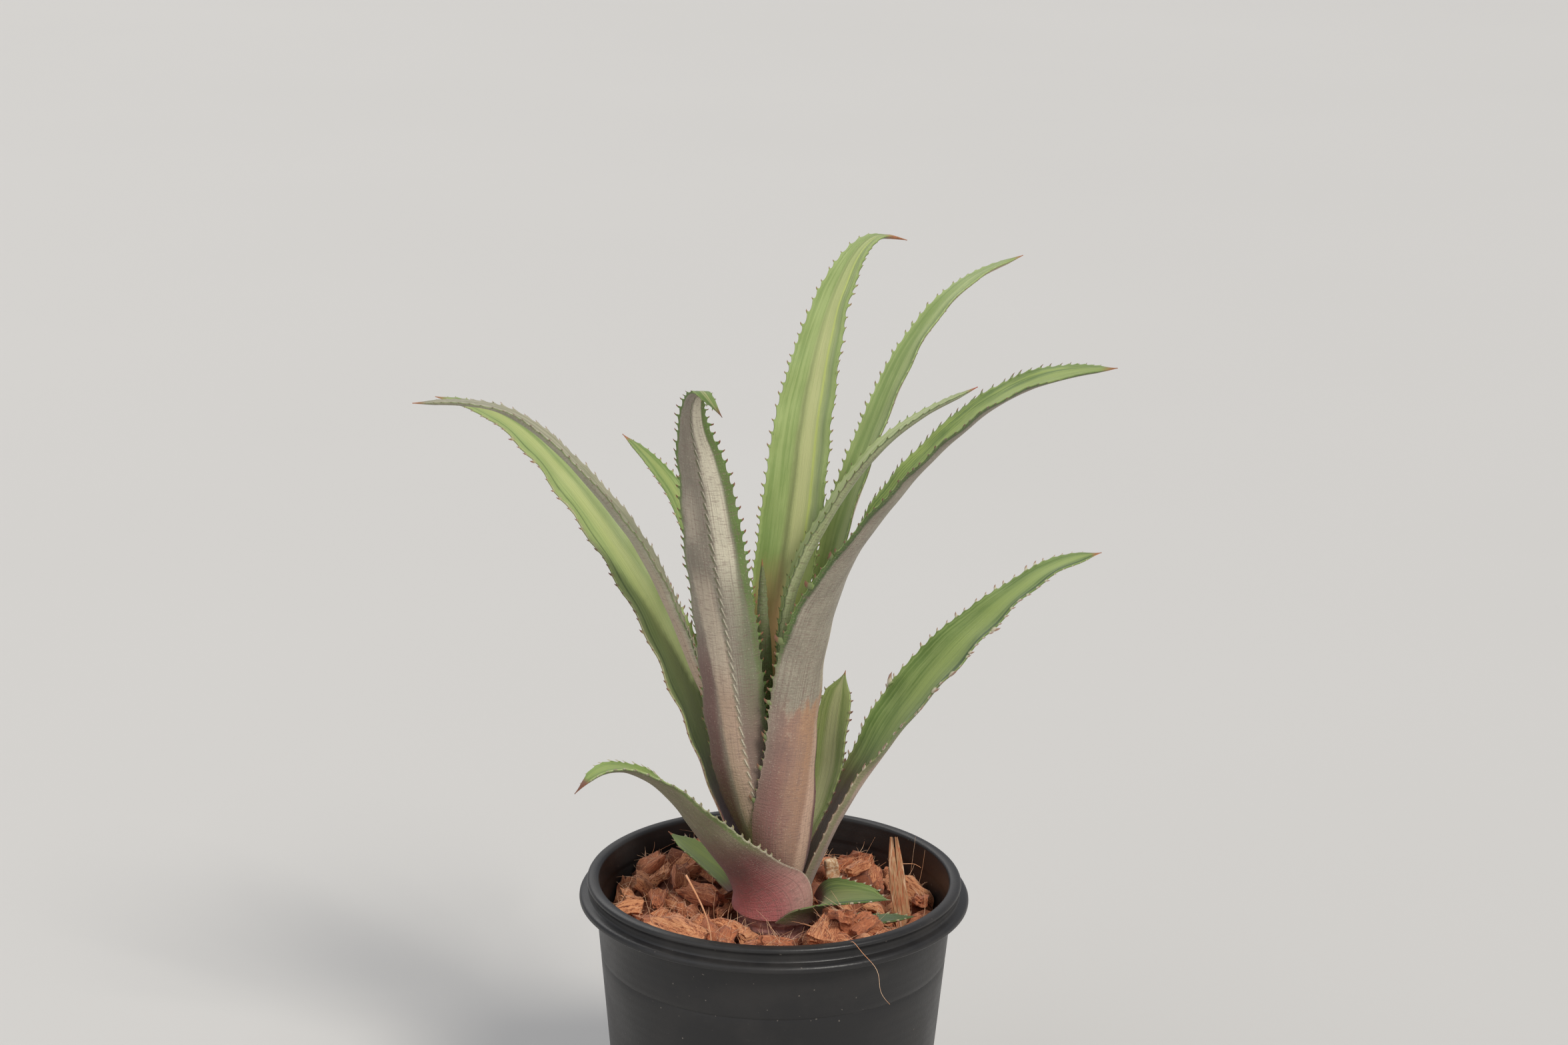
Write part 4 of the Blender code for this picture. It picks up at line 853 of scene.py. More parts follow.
def smooth_list(pairs, where):
    """Values between the given (fraction, value) pairs, eased at each pair."""
    places = np.array([pair[0] for pair in pairs], float)
    values = np.array([pair[1] for pair in pairs], float)
    if len(pairs) < 3:
        return np.interp(where, places, values)
    slopes = np.gradient(values, places)
    cell = np.clip(np.searchsorted(places, where) - 1, 0, len(places) - 2)
    size = places[cell + 1] - places[cell]
    part = np.clip((where - places[cell]) / size, 0.0, 1.0)
    secant = (values[cell + 1] - values[cell]) / size
    first = np.where(slopes[cell] * secant > 0.0, slopes[cell], 0.0)
    last = np.where(slopes[cell + 1] * secant > 0.0, slopes[cell + 1], 0.0)
    first = np.sign(first) * np.minimum(np.abs(first), 3.0 * np.abs(secant))
    last = np.sign(last) * np.minimum(np.abs(last), 3.0 * np.abs(secant))
    square = part * part
    cube = square * part
    return ((2 * cube - 3 * square + 1) * values[cell] + (cube - 2 * square + part) * size * first
            + (3 * square - 2 * cube) * values[cell + 1] + (cube - square) * size * last)


class Blade:
    """The leaf's midrib, side and face directions along its length, in millimetres."""

    def __init__(self, leaf, samples=400):
        self.leaf = leaf
        angle = math.radians(leaf.azimuth)
        out = np.array([math.sin(angle), -math.cos(angle), 0.0])
        side = np.array([math.cos(angle), math.sin(angle), 0.0])
        knots = np.array(leaf.path, float)
        world = knots[:, :1] * out + knots[:, 2:] * side
        world[:, 2] = knots[:, 1]
        chord = np.concatenate(([0.0], np.cumsum(np.linalg.norm(np.diff(world, axis=0), axis=1))))
        curve = natural_spline(chord, world, np.linspace(0.0, chord[-1], samples))
        run = np.concatenate(([0.0], np.cumsum(np.linalg.norm(np.diff(curve, axis=0), axis=1))))
        self.length = float(run[-1])
        self.fraction = run / run[-1]
        self.curve = curve
        ahead = np.gradient(curve, run, axis=0)
        ahead /= np.linalg.norm(ahead, axis=1)[:, None]
        across = side - (ahead @ side)[:, None] * ahead
        across /= np.linalg.norm(across, axis=1)[:, None]
        face = np.cross(ahead, across)
        turn = np.radians(smooth_list(leaf.turn, self.fraction))[:, None]
        self.ahead = ahead
        self.across = across * np.cos(turn) + face * np.sin(turn)
        self.face = face * np.cos(turn) - across * np.sin(turn)

    def pick(self, rows, where):
        return np.stack([np.interp(where, self.fraction, rows[:, axis]) for axis in range(3)], axis=1)

    def sheet(self, where, column, push):
        """Middle of the blade at fractions of the length and columns from -1 to 1.

        push moves a point outwards past the margin, in millimetres. Returns the points, the inner
        face's direction, the direction out of the margin, the direction ahead and the thickness.
        """
        leaf = self.leaf
        middle = self.pick(self.curve, where)
        ahead = self.pick(self.ahead, where)
        across = self.pick(self.across, where)
        face = self.pick(self.face, where)
        width = smooth_list(leaf.width, where)
        fold = np.radians(smooth_list(leaf.fold, where))
        free = 2.0 * fold / width
        stand = np.hypot(middle[:, 0], middle[:, 1])
        blend = np.clip((where - leaf.sheath) / max(leaf.opened - leaf.sheath, 1e-6), 0.0, 1.0)
        blend = blend * blend * (3.0 - 2.0 * blend)
        curl = (1.0 - blend) / np.maximum(stand, 1.0) + blend * free
        reach = np.abs(column)
        fine = np.clip((1.0 - where) * self.length / 5.0, 0.1, 1.0) ** 0.7
        angle = 0.5 * width * fine * column * curl
        along = across * (np.sin(angle) / curl)[:, None] + face * ((1.0 - np.cos(angle)) / curl)[:, None]
        normal = face * np.cos(angle)[:, None] - across * np.sin(angle)[:, None]
        outward = (across * np.cos(angle)[:, None] + face * np.sin(angle)[:, None]) * np.sign(column)[:, None]
        phase = 2.0 * math.pi * (where * self.length / leaf.wave_length + leaf.wave_shift)
        phase = phase + np.where(column > 0.0, 1.1, -0.7)
        slim = np.clip(width / 9.0, 0.0, 1.0)
        ripple = 0.4 * leaf.wave * reach ** 1.7 * np.sin(phase) * blend * slim
        points = middle + along + normal * ripple[:, None] + outward * push[:, None]
        thick = leaf.thick + (MARGIN_THIN - leaf.thick) * reach ** 2
        return points, normal, outward, ahead, thick * fine


def select_none():
    """Leaves edit mode and deselects everything."""
    if bpy.context.object and bpy.context.object.mode != "OBJECT":
        bpy.ops.object.mode_set(mode="OBJECT")
    bpy.ops.object.select_all(action="DESELECT")


def select_only(*pieces):
    """Selects these pieces alone; the first is the active one."""
    select_none()
    for piece in pieces:
        piece.select_set(True)
    bpy.context.view_layer.objects.active = pieces[0]


def start_piece(name, kind, **sizes):
    """Adds a primitive and names it."""
    select_none()
    getattr(bpy.ops.mesh, f"primitive_{kind}_add")(**sizes)
    piece = bpy.context.object
    piece.name = name
    piece.data.name = name
    return piece


@contextmanager
def editing():
    """Edit mode for the length of a block, with every vertex selected at its start."""
    bpy.ops.object.mode_set(mode="EDIT")
    bpy.ops.mesh.select_mode(type="VERT")
    bpy.ops.mesh.select_all(action="SELECT")
    yield
    bpy.ops.object.mode_set(mode="OBJECT")


def set_in_mesh(piece):
    """Puts the object's place, turn and size in its mesh."""
    select_only(piece)
    bpy.ops.object.transform_apply(location=True, rotation=True, scale=True)


def read_points(piece):
    """The mesh's points, one row each, in metres."""
    flat = np.empty(len(piece.data.vertices) * 3, np.float32)
    piece.data.vertices.foreach_get("co", flat)
    return flat.reshape(-1, 3).astype(float)


def write_points(piece, points):
    piece.data.vertices.foreach_set("co", np.asarray(points, np.float32).ravel())
    piece.data.update()


def set_attribute(piece, name, kind, values):
    """Stores a value on every point, for the material to read."""
    layer = piece.data.attributes.get(name) or piece.data.attributes.new(name, kind, "POINT")
    key = "vector" if kind == "FLOAT_VECTOR" else "value"
    layer.data.foreach_set(key, np.asarray(values, np.float32).ravel())


def apply_modifier(piece, kind, **settings):
    """Adds a modifier with its settings and applies it."""
    select_only(piece)
    bpy.ops.object.modifier_add(type=kind)
    made = piece.modifiers[-1]
    for key, value in settings.items():
        setattr(made, key, value)
    bpy.ops.object.modifier_apply(modifier=made.name)


def join(pieces, name):
    """Joins the pieces to the first one."""
    if len(pieces) > 1:
        select_only(*pieces)
        bpy.ops.object.join()
    pieces[0].name = name
    pieces[0].data.name = name
    return pieces[0]


def copy_of(model, matrix):
    """A copy with its own mesh, its place in its mesh."""
    made = model.copy()
    made.data = model.data.copy()
    made.data.transform(matrix)
    bpy.context.collection.objects.link(made)
    return made


def drop(piece):
    """Removes a piece that was only a model or a tool."""
    mesh = piece.data
    bpy.data.objects.remove(piece, do_unlink=True)
    bpy.data.meshes.remove(mesh)


def keep_inside(piece):
    """Holds the finest points inside the plant's own box."""
    low, high = (np.array(corner) for corner in CAD_BOX)
    write_points(piece, np.clip(read_points(piece), low, high))


def put_in_place(piece, material, slot, *nodes):
    """Last step of every piece: its material, its body and the nodes that it stands for."""
    piece.data.materials.clear()
    piece.data.materials.append(material)
    keep_inside(piece)
    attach(piece, BODY)
    if nodes:
        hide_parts(*nodes)
    select_none()


def smooth_shade(piece, angle):
    select_only(piece)
    bpy.ops.object.shade_smooth_by_angle(angle=math.radians(angle))


# A spine's root inside the margin and its height against its width
SPINE_ROOT = -0.25
SPINE_FLAT = 0.42
# Its steps from root to point: outwards, ahead, size against the last and turn in degrees
SPINE_STEPS = (
    (0.32, 0.04, 0.82, 8),
    (0.3, 0.14, 0.66, 18),
    (0.24, 0.22, 0.6, 22),
    (0.14, 0.28, 0.12, 20),
)


def spine_model():
    """One forward-hooked spine, a millimetre long: x points out of the margin and y ahead."""
    spine = start_piece("spine", "circle", vertices=6, radius=0.4, rotation=(0.0, math.pi / 2.0, 0.0))
    set_in_mesh(spine)
    points = read_points(spine)
    points[:, 2] *= SPINE_FLAT
    points[:, 0] += SPINE_ROOT
    write_points(spine, points)
    centre = Vector((SPINE_ROOT, 0.0, 0.0))
    with editing():
        for out, on, shrink, tilt in SPINE_STEPS:
            bpy.ops.mesh.extrude_region_move(TRANSFORM_OT_translate={"value": (out, on, 0.0)})
            centre = centre + Vector((out, on, 0.0))
            bpy.ops.transform.resize(value=(shrink, shrink, shrink), center_override=centre)
            bpy.ops.transform.rotate(value=math.radians(-tilt), orient_axis="Z", center_override=centre)
        bpy.ops.mesh.merge(type="CENTER")
        bpy.ops.mesh.select_all(action="SELECT")
        bpy.ops.mesh.normals_make_consistent(inside=False)
    points = read_points(spine)
    set_attribute(spine, "spine", "FLOAT", np.clip((points[:, 0] + 0.1) / 0.8, 0.0, 1.0))
    set_attribute(spine, "blade", "FLOAT_VECTOR", np.zeros((len(points), 3)))
    return spine


def margin_places(blade, leaf, rng, settings):
    """Fractions of the length where spines stand on one margin."""
    pitch = settings.spine_pitch / MM
    run = max(0.07, leaf.teeth_from * 0.65) * blade.length
    places = []
    while run < blade.length - BARE_TIP:
        places.append(run / blade.length)
        near_tip = min(1.0, (blade.length - run) / 25.0)
        run += pitch * rng.uniform(0.72, 1.25) * (0.72 + 0.28 * near_tip)
    return places


def scallop(where, places, length, depth):
    """Outward bulge of the margin: it rises to each spine and falls back behind it."""
    marks = np.array(places)
    cell = np.clip(np.searchsorted(marks, where), 1, len(marks) - 1)
    part = (where - marks[cell - 1]) / np.maximum(marks[cell] - marks[cell - 1], 1e-6)
    part = np.clip(part, 0.0, 1.0)
    bulge = depth * (part ** 2.2 * 1.3 + (1.0 - part) ** 6.0 * 1.1 - 0.55)
    shown = np.clip((where - marks[0]) * length / 4.0, 0.0, 1.0)
    return bulge * shown


def place_spines(pieces, model, blade, places, sizes, sign, rng):
    """Copies the spine to its places on the margin at column sign."""
    if not places:
        return
    where = np.array(places)
    column = np.full(len(where), sign)
    points, normal, outward, ahead, _ = blade.sheet(where, column, np.full(len(where), 0.12))
    for index in range(len(where)):
        scale = sizes[index] * rng.uniform(0.75, 1.2)
        hook = rng.uniform(-12.0, 16.0)
        lift = rng.uniform(-0.5, -0.05)
        out = Vector(outward[index]) + Vector(normal[index]) * lift
        on = Vector(ahead[index])
        up = out.cross(on).normalized()
        on = up.cross(out).normalized()
        turn = Matrix((out.normalized(), on, up)).transposed().to_4x4()
        twist = Matrix.Rotation(math.radians(hook), 4, "Z")
        place = Matrix.Translation(Vector(points[index]) * MM)
        spine = copy_of(model, place @ turn @ twist @ Matrix.Scale(scale * MM, 4))
        count = len(spine.data.vertices)
        set_attribute(spine, "blade", "FLOAT_VECTOR", np.tile((sign, where[index], 0.5), (count, 1)))
        pieces.append(spine)


def wander(where, length, waves, phase, rng):
    """Slow unevenness along the blade: sine waves of the given lengths, in millimetres."""
    total = np.zeros(len(where))
    for wave in waves:
        turns = 2.0 * math.pi * where * length / wave + rng.uniform(0.0, 6.28) + phase
        total += np.sin(turns) * wave / waves[0] * 0.07
    return total


def leaf_blade(name, blade, left, right, seed, settings):
    """The blade from a grid: laid along its curve, scalloped at the margins and thickened."""
    rows = max(24, round(blade.length * MM / settings.row_step))
    columns = settings.leaf_columns
    piece = start_piece(name, "grid", x_subdivisions=columns, y_subdivisions=rows, size=2.0, calc_uvs=False)
    flat = read_points(piece)
    column = np.clip(flat[:, 0], -1.0, 1.0)
    column = np.sign(column) * (1.0 - (1.0 - np.abs(column)) ** 1.2)
    where = np.clip(0.5 * (flat[:, 1] + 1.0), 0.0, 1.0)
    depth = settings.scallop_depth / MM
    bulge = np.where(column < 0.0, scallop(where, left, blade.length, depth),
                     scallop(where, right, blade.length, depth))
    rng = np.random.default_rng(seed)
    uneven = wander(where, blade.length, MARGIN_WAVES, (column > 0.0) * 2.1, rng)
    tip = np.clip((1.0 - where) * blade.length / 12.0, 0.0, 1.0)
    reach = np.abs(column)
    push = (bulge * reach ** 9.0 + uneven * reach ** 2.0) * tip
    points, normal, _, _, thick = blade.sheet(where, column, push)
    swell = wander(where, blade.length, FACE_WAVES, column * 2.3, rng)
    rib = 0.05 * np.sin(column * 21.0 + 0.7 * np.sin(where * 19.0)) * (1.0 - reach ** 6.0)
    points = points + normal * ((swell + rib) * tip)[:, None]
    write_points(piece, points * MM)
    thin = thick * (1.0 - 0.42 * reach ** 4.0)
    group = piece.vertex_groups.new(name="thickness")
    level = np.clip(np.round(thin / thin.max() * THICKNESS_STEPS), 1, THICKNESS_STEPS).astype(int)
    for step in range(1, THICKNESS_STEPS + 1):
        group.add(np.nonzero(level == step)[0].tolist(), step / THICKNESS_STEPS, "REPLACE")
    apply_modifier(piece, "SOLIDIFY", thickness=float(thin.max()) * MM, offset=0.0, vertex_group=group.name)
    piece.vertex_groups.clear()
    solid = read_points(piece)
    count = len(where)
    first_up = np.sum((solid[:count] - solid[count:]) * normal, axis=1) > 0.0
    side = np.concatenate((first_up, ~first_up)).astype(float)
    set_attribute(piece, "blade", "FLOAT_VECTOR",
                  np.stack((np.tile(column, 2), np.tile(where, 2), side), axis=1))
    set_attribute(piece, "spine", "FLOAT", np.zeros(2 * count))
    return piece


def build_leaf(node, leaf, model, settings):
    """Grows one leaf: its blade, its spines and its skin."""
    blade = Blade(leaf)
    seed = sum(ord(letter) for letter in node)
    rng = random.Random(seed)
    name = node + "_toothed"
    left = margin_places(blade, leaf, rng, settings)
    right = margin_places(blade, leaf, rng, settings)
    piece = leaf_blade(name, blade, left, right, seed, settings)
    pieces = [piece]
    if leaf.teeth_from < 1.0:
        for places, sign in ((left, -1.0), (right, 1.0)):
            where = np.array(places)
            grow = np.clip((where - 0.05) / 0.2, 0.55, 1.0) * np.clip((1.0 - where) / 0.16, 0.4, 1.0)
            size = settings.spine_length / MM * LOOKS[node].spine_size
            place_spines(pieces, model, blade, places, size * grow, sign, rng)
    for sign, where, long in LOOKS[node].hooks:
        place_spines(pieces, model, blade, [where], [long], sign, rng)
    join(pieces, name)
    smooth_shade(piece, 55.0)
    put_in_place(piece, LeafPaint(node + "_skin", leaf, LOOKS[node], blade).made(), "leaf_green", node)


def wall_radius(height):
    """Outer radius of the pot's tapered wall below the bead."""
    return BASE_RADIUS + (BODY_TOP_RADIUS - BASE_RADIUS) * height / WALL_TOP


def on_wall(*heights, inwards=0.0):
    """Points of the pot's outline on its tapered wall, or that far inside it."""
    return [(wall_radius(height) - inwards, height) for height in heights]


def pot_profile():
    """The pot's outline from its base's centre, up the outside, over the lip and down the inside."""
    step = wall_radius(STEP_HEIGHT)
    foot = [(0, 0), (12, 0), (18, 0), (26, 0), (BASE_RADIUS - 1.3, 0), (BASE_RADIUS - 0.8, 0.08),
            (BASE_RADIUS - 0.35, 0.4), (BASE_RADIUS - 0.05, 0.9)]
    low_wall = on_wall(1.6, 2.4, 10, 20, 30, 40, 50, 58, 60.6)
    step_line = [(step - 0.2, 61.2), (step - 0.25, STEP_HEIGHT), (step - 0.1, 61.8)]
    high_wall = [*on_wall(62.1, 63, 68, 73), (BODY_TOP_RADIUS, 74.1)]
    bead = [(41.35, 74.4), (41.8, 74.55), (43.4, 74.6), (44.3, 74.62), (44.75, 74.75), (44.95, 74.98),
            (BEAD_RADIUS, 75.3), (44.96, 75.65), (44.8, 75.98), (44.5, 76.22), (44.05, 76.36), (43.4, 76.45)]
    lip = [(42.95, 76.6), (42.76, 76.85), (42.72, 77.2), (42.76, 78), (42.86, 78.5), (43.05, 78.75),
           (LIP_RADIUS, 79.05), (43.17, 79.4), (43, 79.68), (42.7, 79.88), (42.3, 79.98), (41.8, POT_HEIGHT),
           (41.2, 79.98), (40.85, 79.88), (40.6, 79.7), (40.46, 79.45), (MOUTH_RADIUS, 79.1)]
    inside = on_wall(76, 74, 60, 30, 4, inwards=WALL)
    corner = [*on_wall(2.6, inwards=WALL + 0.4), *on_wall(FLOOR_TOP, inwards=WALL + 1.4)]
    floor = [(radius, FLOOR_TOP) for radius in (26, 18, 12, 0)]
    return foot + low_wall + step_line + high_wall + bead + lip + inside + corner + floor


def spun(name, profile, steps):
    """Turns a profile about the Z axis."""
    select_none()
    mesh = bpy.data.meshes.new(name)
    rows = [(radius * MM, 0.0, height * MM) for radius, height in profile]
    mesh.from_pydata(rows, [(row, row + 1) for row in range(len(rows) - 1)], [])
    piece = bpy.data.objects.new(name, mesh)
    bpy.context.collection.objects.link(piece)
    select_only(piece)
    with editing():
        bpy.ops.mesh.spin(steps=steps, angle=2.0 * math.pi, center=(0.0, 0.0, 0.0), axis=(0.0, 0.0, 1.0))
        bpy.ops.mesh.select_all(action="SELECT")
        bpy.ops.mesh.remove_doubles(threshold=0.000002)
        bpy.ops.mesh.normals_make_consistent(inside=False)
    return piece


def cut(piece, tool):
    """Cuts the tool's shape out of the piece."""
    apply_modifier(piece, "BOOLEAN", operation="DIFFERENCE", solver="EXACT", object=tool)
    drop(tool)


def pot_paint(settings):
    """Matt charcoal plastic with faint moulding rings, scuffs, a little dust and a ring of painted shade
    under the bead.
    """
    paint = Paint("pot_charcoal_plastic")
    place = paint.place()
    height = paint.split(place)[2]
    fine = paint.noise(paint.millimetres(), 1.9, 3.0, 0.6)
    cloud = paint.noise(paint.millimetres(), 0.06, 4.0, 0.6)
    scuff = paint.noise(paint.stretch(place, (90.0, 90.0, 1900.0)), 1.0, 4.0, 0.7, 0.4)
    speck = paint.noise(paint.millimetres(), 1.1, 1.0, 0.5)
    dust = paint.smooth(cloud, 0.45, 0.7) * 0.03 + paint.smooth(speck, 0.76, 0.785) * 0.4
    dust = dust + paint.smooth(scuff, 0.64, 0.76) * 0.05
    top = paint.smooth(height, 0.0745, 0.0765) * paint.smooth(cloud, 0.3, 0.6) * 0.03
    colour = paint.mix(dust + top, settings.plastic, settings.dust)
    # Painted shade: a near-black ring just under the bead, where its overhang shades the wall
    painted_shade_line = paint.smooth(abs(height - 0.0739), 0.0002, 0.0007, 0.7, 0.0)
    colour = paint.mix(painted_shade_line, colour, (0.004, 0.004, 0.004))
    rough = paint.smooth(cloud, 0.3, 0.7, 0.36, 0.47) + (fine - 0.5) * 0.14 + dust * 0.5
    ring = paint.maths("SINE", height * 2600.0 + cloud * 4.0)
    relief = fine * 0.5 + ring * 0.16 + scuff * 0.35
    return paint.finish(colour, rough, relief, 0.00012, 0.45, {"Specular IOR Level": 0.42})


def build_pot(settings):
    """Spins the pot from its outline and drills its drain holes."""
    pot = spun("pot_moulded", pot_profile(), settings.segments)
    for step in range(DRAIN_COUNT):
        angle = 2.0 * math.pi * (step + 0.5) / DRAIN_COUNT
        place = (DRAIN_CIRCLE * MM * math.cos(angle), DRAIN_CIRCLE * MM * math.sin(angle), 0.001)
        cut(pot, start_piece("drill", "cylinder", vertices=32, radius=DRAIN_RADIUS * MM, depth=0.008,
                             location=place))
    smooth_shade(pot, 32.0)
    put_in_place(pot, pot_paint(settings), "pot_plastic", "pot")


def husk_colour(paint, grain, tone, settings):
    """Husk fibre colour: fine strands along each chip, with painted shade in the hollows between them and
    orange that is partly the fibres' own and partly a painted highlight on lit ends.
    """
    strand = paint.noise(paint.stretch(grain, (0.32, 3.4, 3.4)), 1.0, 3.0, 0.65, 0.3)
    thick = paint.noise(paint.stretch(grain, (0.2, 1.0, 1.0)), 1.0, 3.0, 0.6, 0.5)
    crumb = paint.noise(grain, 2.2, 4.0, 0.7)
    value = strand * 0.5 + thick * 0.3 + crumb * 0.2
    # Painted shade: the lowest strands go to the hollows' dark
    colour = paint.mix(paint.smooth(value, 0.36, 0.5), settings.coir_dark, settings.coir_red)
    # Orange: partly the fibres' own colour, partly a painted highlight
    colour = paint.mix(paint.smooth(value + tone * 0.14 - 0.07, 0.47, 0.6), colour, settings.coir_orange)
    colour = paint.mix(paint.smooth(value + tone * 0.1 - 0.05, 0.6, 0.72) * 0.8, colour, settings.coir_pale)
    return colour, strand, crumb


def coir_paint(settings):
    """Material of the husk chips and their bed; where the tone is below zero, as on the bed, it is darkened
    as painted shade between the chips.
    """
    paint = Paint("coir_husk")
    grain = paint.attribute("grain")
    tone = paint.attribute("tone", 2)
    colour, strand, crumb = husk_colour(paint, grain, tone, settings)
    # Painted shade: a tone below zero pulls the colour towards the dark
    deep = paint.smooth(tone, -0.9, -0.1, 1.0, 0.0)
    colour = paint.mix(deep * 0.75, colour, settings.coir_dark)
    height = strand * 0.7 + crumb * 0.6
    return paint.finish(colour, 0.85 + (crumb - 0.5) * 0.2, height, 0.0003, 0.9, {"Sheen Weight": 0.1})


def chip_model(index, rng):
    """One husk chip about a millimetre long: a torn block, split along its fibres."""
    chip = start_piece(f"chip_{index}", "cube", size=1.0)
    with editing():
        bpy.ops.transform.resize(value=(1.0, rng.uniform(0.55, 0.8), rng.uniform(0.36, 0.56)))
        bpy.ops.mesh.subdivide(number_cuts=5)
    points = read_points(chip)
    size = np.abs(points).max(axis=0)
    unit = points / size
    bend = rng.uniform(-0.12, 0.16)
    taper = rng.uniform(-0.3, 0.3)
    corner = rng.uniform(0.16, 0.3)
    shift = Vector((index * 7.3, index * 3.1, index * 5.7))
    made = []
    for place, sign in zip(points, unit):
        spot = Vector(place)
        around = math.sqrt(max(sign[1] ** 2 + sign[2] ** 2, 1e-9))
        square = max(abs(sign[1]), abs(sign[2]), 1e-6)
        soft = 1.0 - corner * (around / square - 1.0) * 1.3
        end = 1.0 - corner * 0.5 * abs(sign[0]) ** 5.0
        spot.y *= soft * end * (1.0 + taper * sign[0])
        spot.z *= soft * end
        rough = noise.noise(Vector((spot.x * 2.2, spot.y * 3.5, spot.z * 3.5)) + shift)
        torn = noise.noise(Vector((0.6 * spot.x, spot.y * 16.0, spot.z * 16.0)) + shift)
        crumb = noise.noise(spot * 7.0 + shift)
        out = Vector((sign[0] * 0.35, sign[1], sign[2])).normalized()
        spot += out * (0.16 * rough + 0.05 * crumb + 0.05 * torn)
        spot.x += sign[0] * abs(sign[0]) ** 3.0 * (0.14 * torn + 0.08 * rough)
        spot.z += bend * (1.0 - sign[0] ** 2) + 0.06 * rough
        made.append(spot)
    write_points(chip, [tuple(spot) for spot in made])
    return chip


def surface_tree(pieces):
    """A search tree over the triangles of several pieces."""
    points = []
    faces = []
    for piece in pieces:
        base = len(points)
        points += [tuple(vert.co) for vert in piece.data.vertices]
        faces += [[base + corner for corner in face.vertices] for face in piece.data.polygons]
    return BVHTree.FromPolygons(points, faces)


def top_at(tree, across, back):
    """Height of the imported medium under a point, in millimetres."""
    found = tree.ray_cast(Vector((across * MM, back * MM, 0.15)), Vector((0.0, 0.0, -1.0)))[0]
    return found.z / MM if found else None


def inside_wall(height):
    """How far out the medium may reach at a height, in millimetres."""
    if height > 76.0:
        return MOUTH_RADIUS - WALL_CLEARANCE
    return wall_radius(height) - WALL - WALL_CLEARANCE


def spot_in_ring(rng, inner, outer):
    """An evenly drawn place across and back between two circles."""
    away = math.sqrt(rng.uniform(inner ** 2, outer ** 2))
    angle = rng.uniform(0.0, 2.0 * math.pi)
    return away * math.cos(angle), away * math.sin(angle)


def chip_seat(tree, guard, model, across, back, long, spin, tip, lean, sink):
    """Where a chip lies on the medium, lowered and made smaller until it clears the leaves."""
    level = top_at(tree, across, back)
    if level is None:
        return None
    turn = Matrix.Rotation(spin, 4, "Z") @ Matrix.Rotation(tip, 4, "Y") @ Matrix.Rotation(lean, 4, "X")
    points = read_points(model)
    for attempt in range(6):
        scale = long * (1.0 - 0.07 * attempt)
        rise = level + sink - 0.9 * attempt
        place = Matrix.Translation(Vector((across, back, rise)) * MM) @ turn @ Matrix.Scale(scale * MM, 4)
        if min(guard.find_nearest(place @ Vector(point))[3] for point in points) > LEAF_CLEARANCE:
            return place
    return None


# Heaped chips: across, back and length in millimetres, three turns in radians, height above the bed
HEAPED_CHIPS = (
    (14.5, -9.5, 7.5, 0.3, 0.1, 0.3, 1.8),
    (20, -12.5, 7.5, 1.2, -0.1, 0.2, 2),
    (14.5, -25, 8.5, 0.4, 0.2, 0.3, 1),
    (20.5, -25.5, 8.5, 2.2, 0.4, -0.4, 1),
    (16, -21, 9, 2.7, 0.2, 0.5, 2.2),
    (22.5, -21, 8, 0.9, -0.3, 0.1, 2.2),
    (12, -19, 9, 1.3, -0.3, 0.2, 3.5),
    (19, -17.5, 9, 0.2, 0.3, -0.2, 3.5),
    (15.5, -18.5, 7, 2, 0.4, 0.4, 6),
    (20.5, -19, 6.5, 0.6, -0.4, 0.3, 5.6),
    (2.5, -25.5, 8.5, 0.2, 0.1, 0.2, 0.6),
    (-21.5, -17.5, 13, -0.5, 0.15, 0.2, 0.8),
    (-15.5, -24.5, 8.5, 0.7, 0.2, 0.1, 0.6),
)
# Limits of the other chips' turns in radians and of their height above the bed in millimetres
CHIP_TURNS = ((0, 6.28), (-0.7, 0.7), (-0.8, 0.8), (-0.6, 0.7))
# Hollow beside the lower left leaf that no chip fills: middle and half sizes in millimetres
SHADOW_GAP = (-10.0, -15.5, 3.4, 7.0)


def build_chips(settings, tree, guard):
    """Husk chips seated over the whole medium by a seeded rule, thick where it is heaped."""
    rng = random.Random(settings.seed)
    models = [chip_model(index, rng) for index in range(CHIP_MODELS)]
    chips = []
    seats = []
    tries = 0
    for index, (across, back, long, *turns) in enumerate(HEAPED_CHIPS):
        model = models[index % len(models)]
        place = chip_seat(tree, guard, model, across, back, long, *turns)
        if place is not None:
            seats.append((across, back, 0.6 * long))
            chips.append(lay_chip(model, place, rng, long))
    while len(chips) < settings.chip_count and tries < settings.chip_count * TRIES_PER_CHIP:
        tries += 1
        across, back = spot_in_ring(rng, *CHIP_RING)
        spread = settings.chip_large - settings.chip_small
        long = (settings.chip_small + spread * rng.random() ** 1.1) / MM
        if abs(across - SHADOW_GAP[0]) < SHADOW_GAP[2] and abs(back - SHADOW_GAP[1]) < SHADOW_GAP[3]:
            continue
        if any(math.hypot(across - x, back - y) < 0.36 * (long + other) for x, y, other in seats):
            continue
        model = models[rng.randrange(len(models))]
        turns = [rng.uniform(*limits) for limits in CHIP_TURNS]
        place = chip_seat(tree, guard, model, across, back, long, *turns)
        if place is None:
            continue
        seats.append((across, back, long))
        chips.append(lay_chip(model, place, rng, long))
    for model in models:
        drop(model)
    return chips


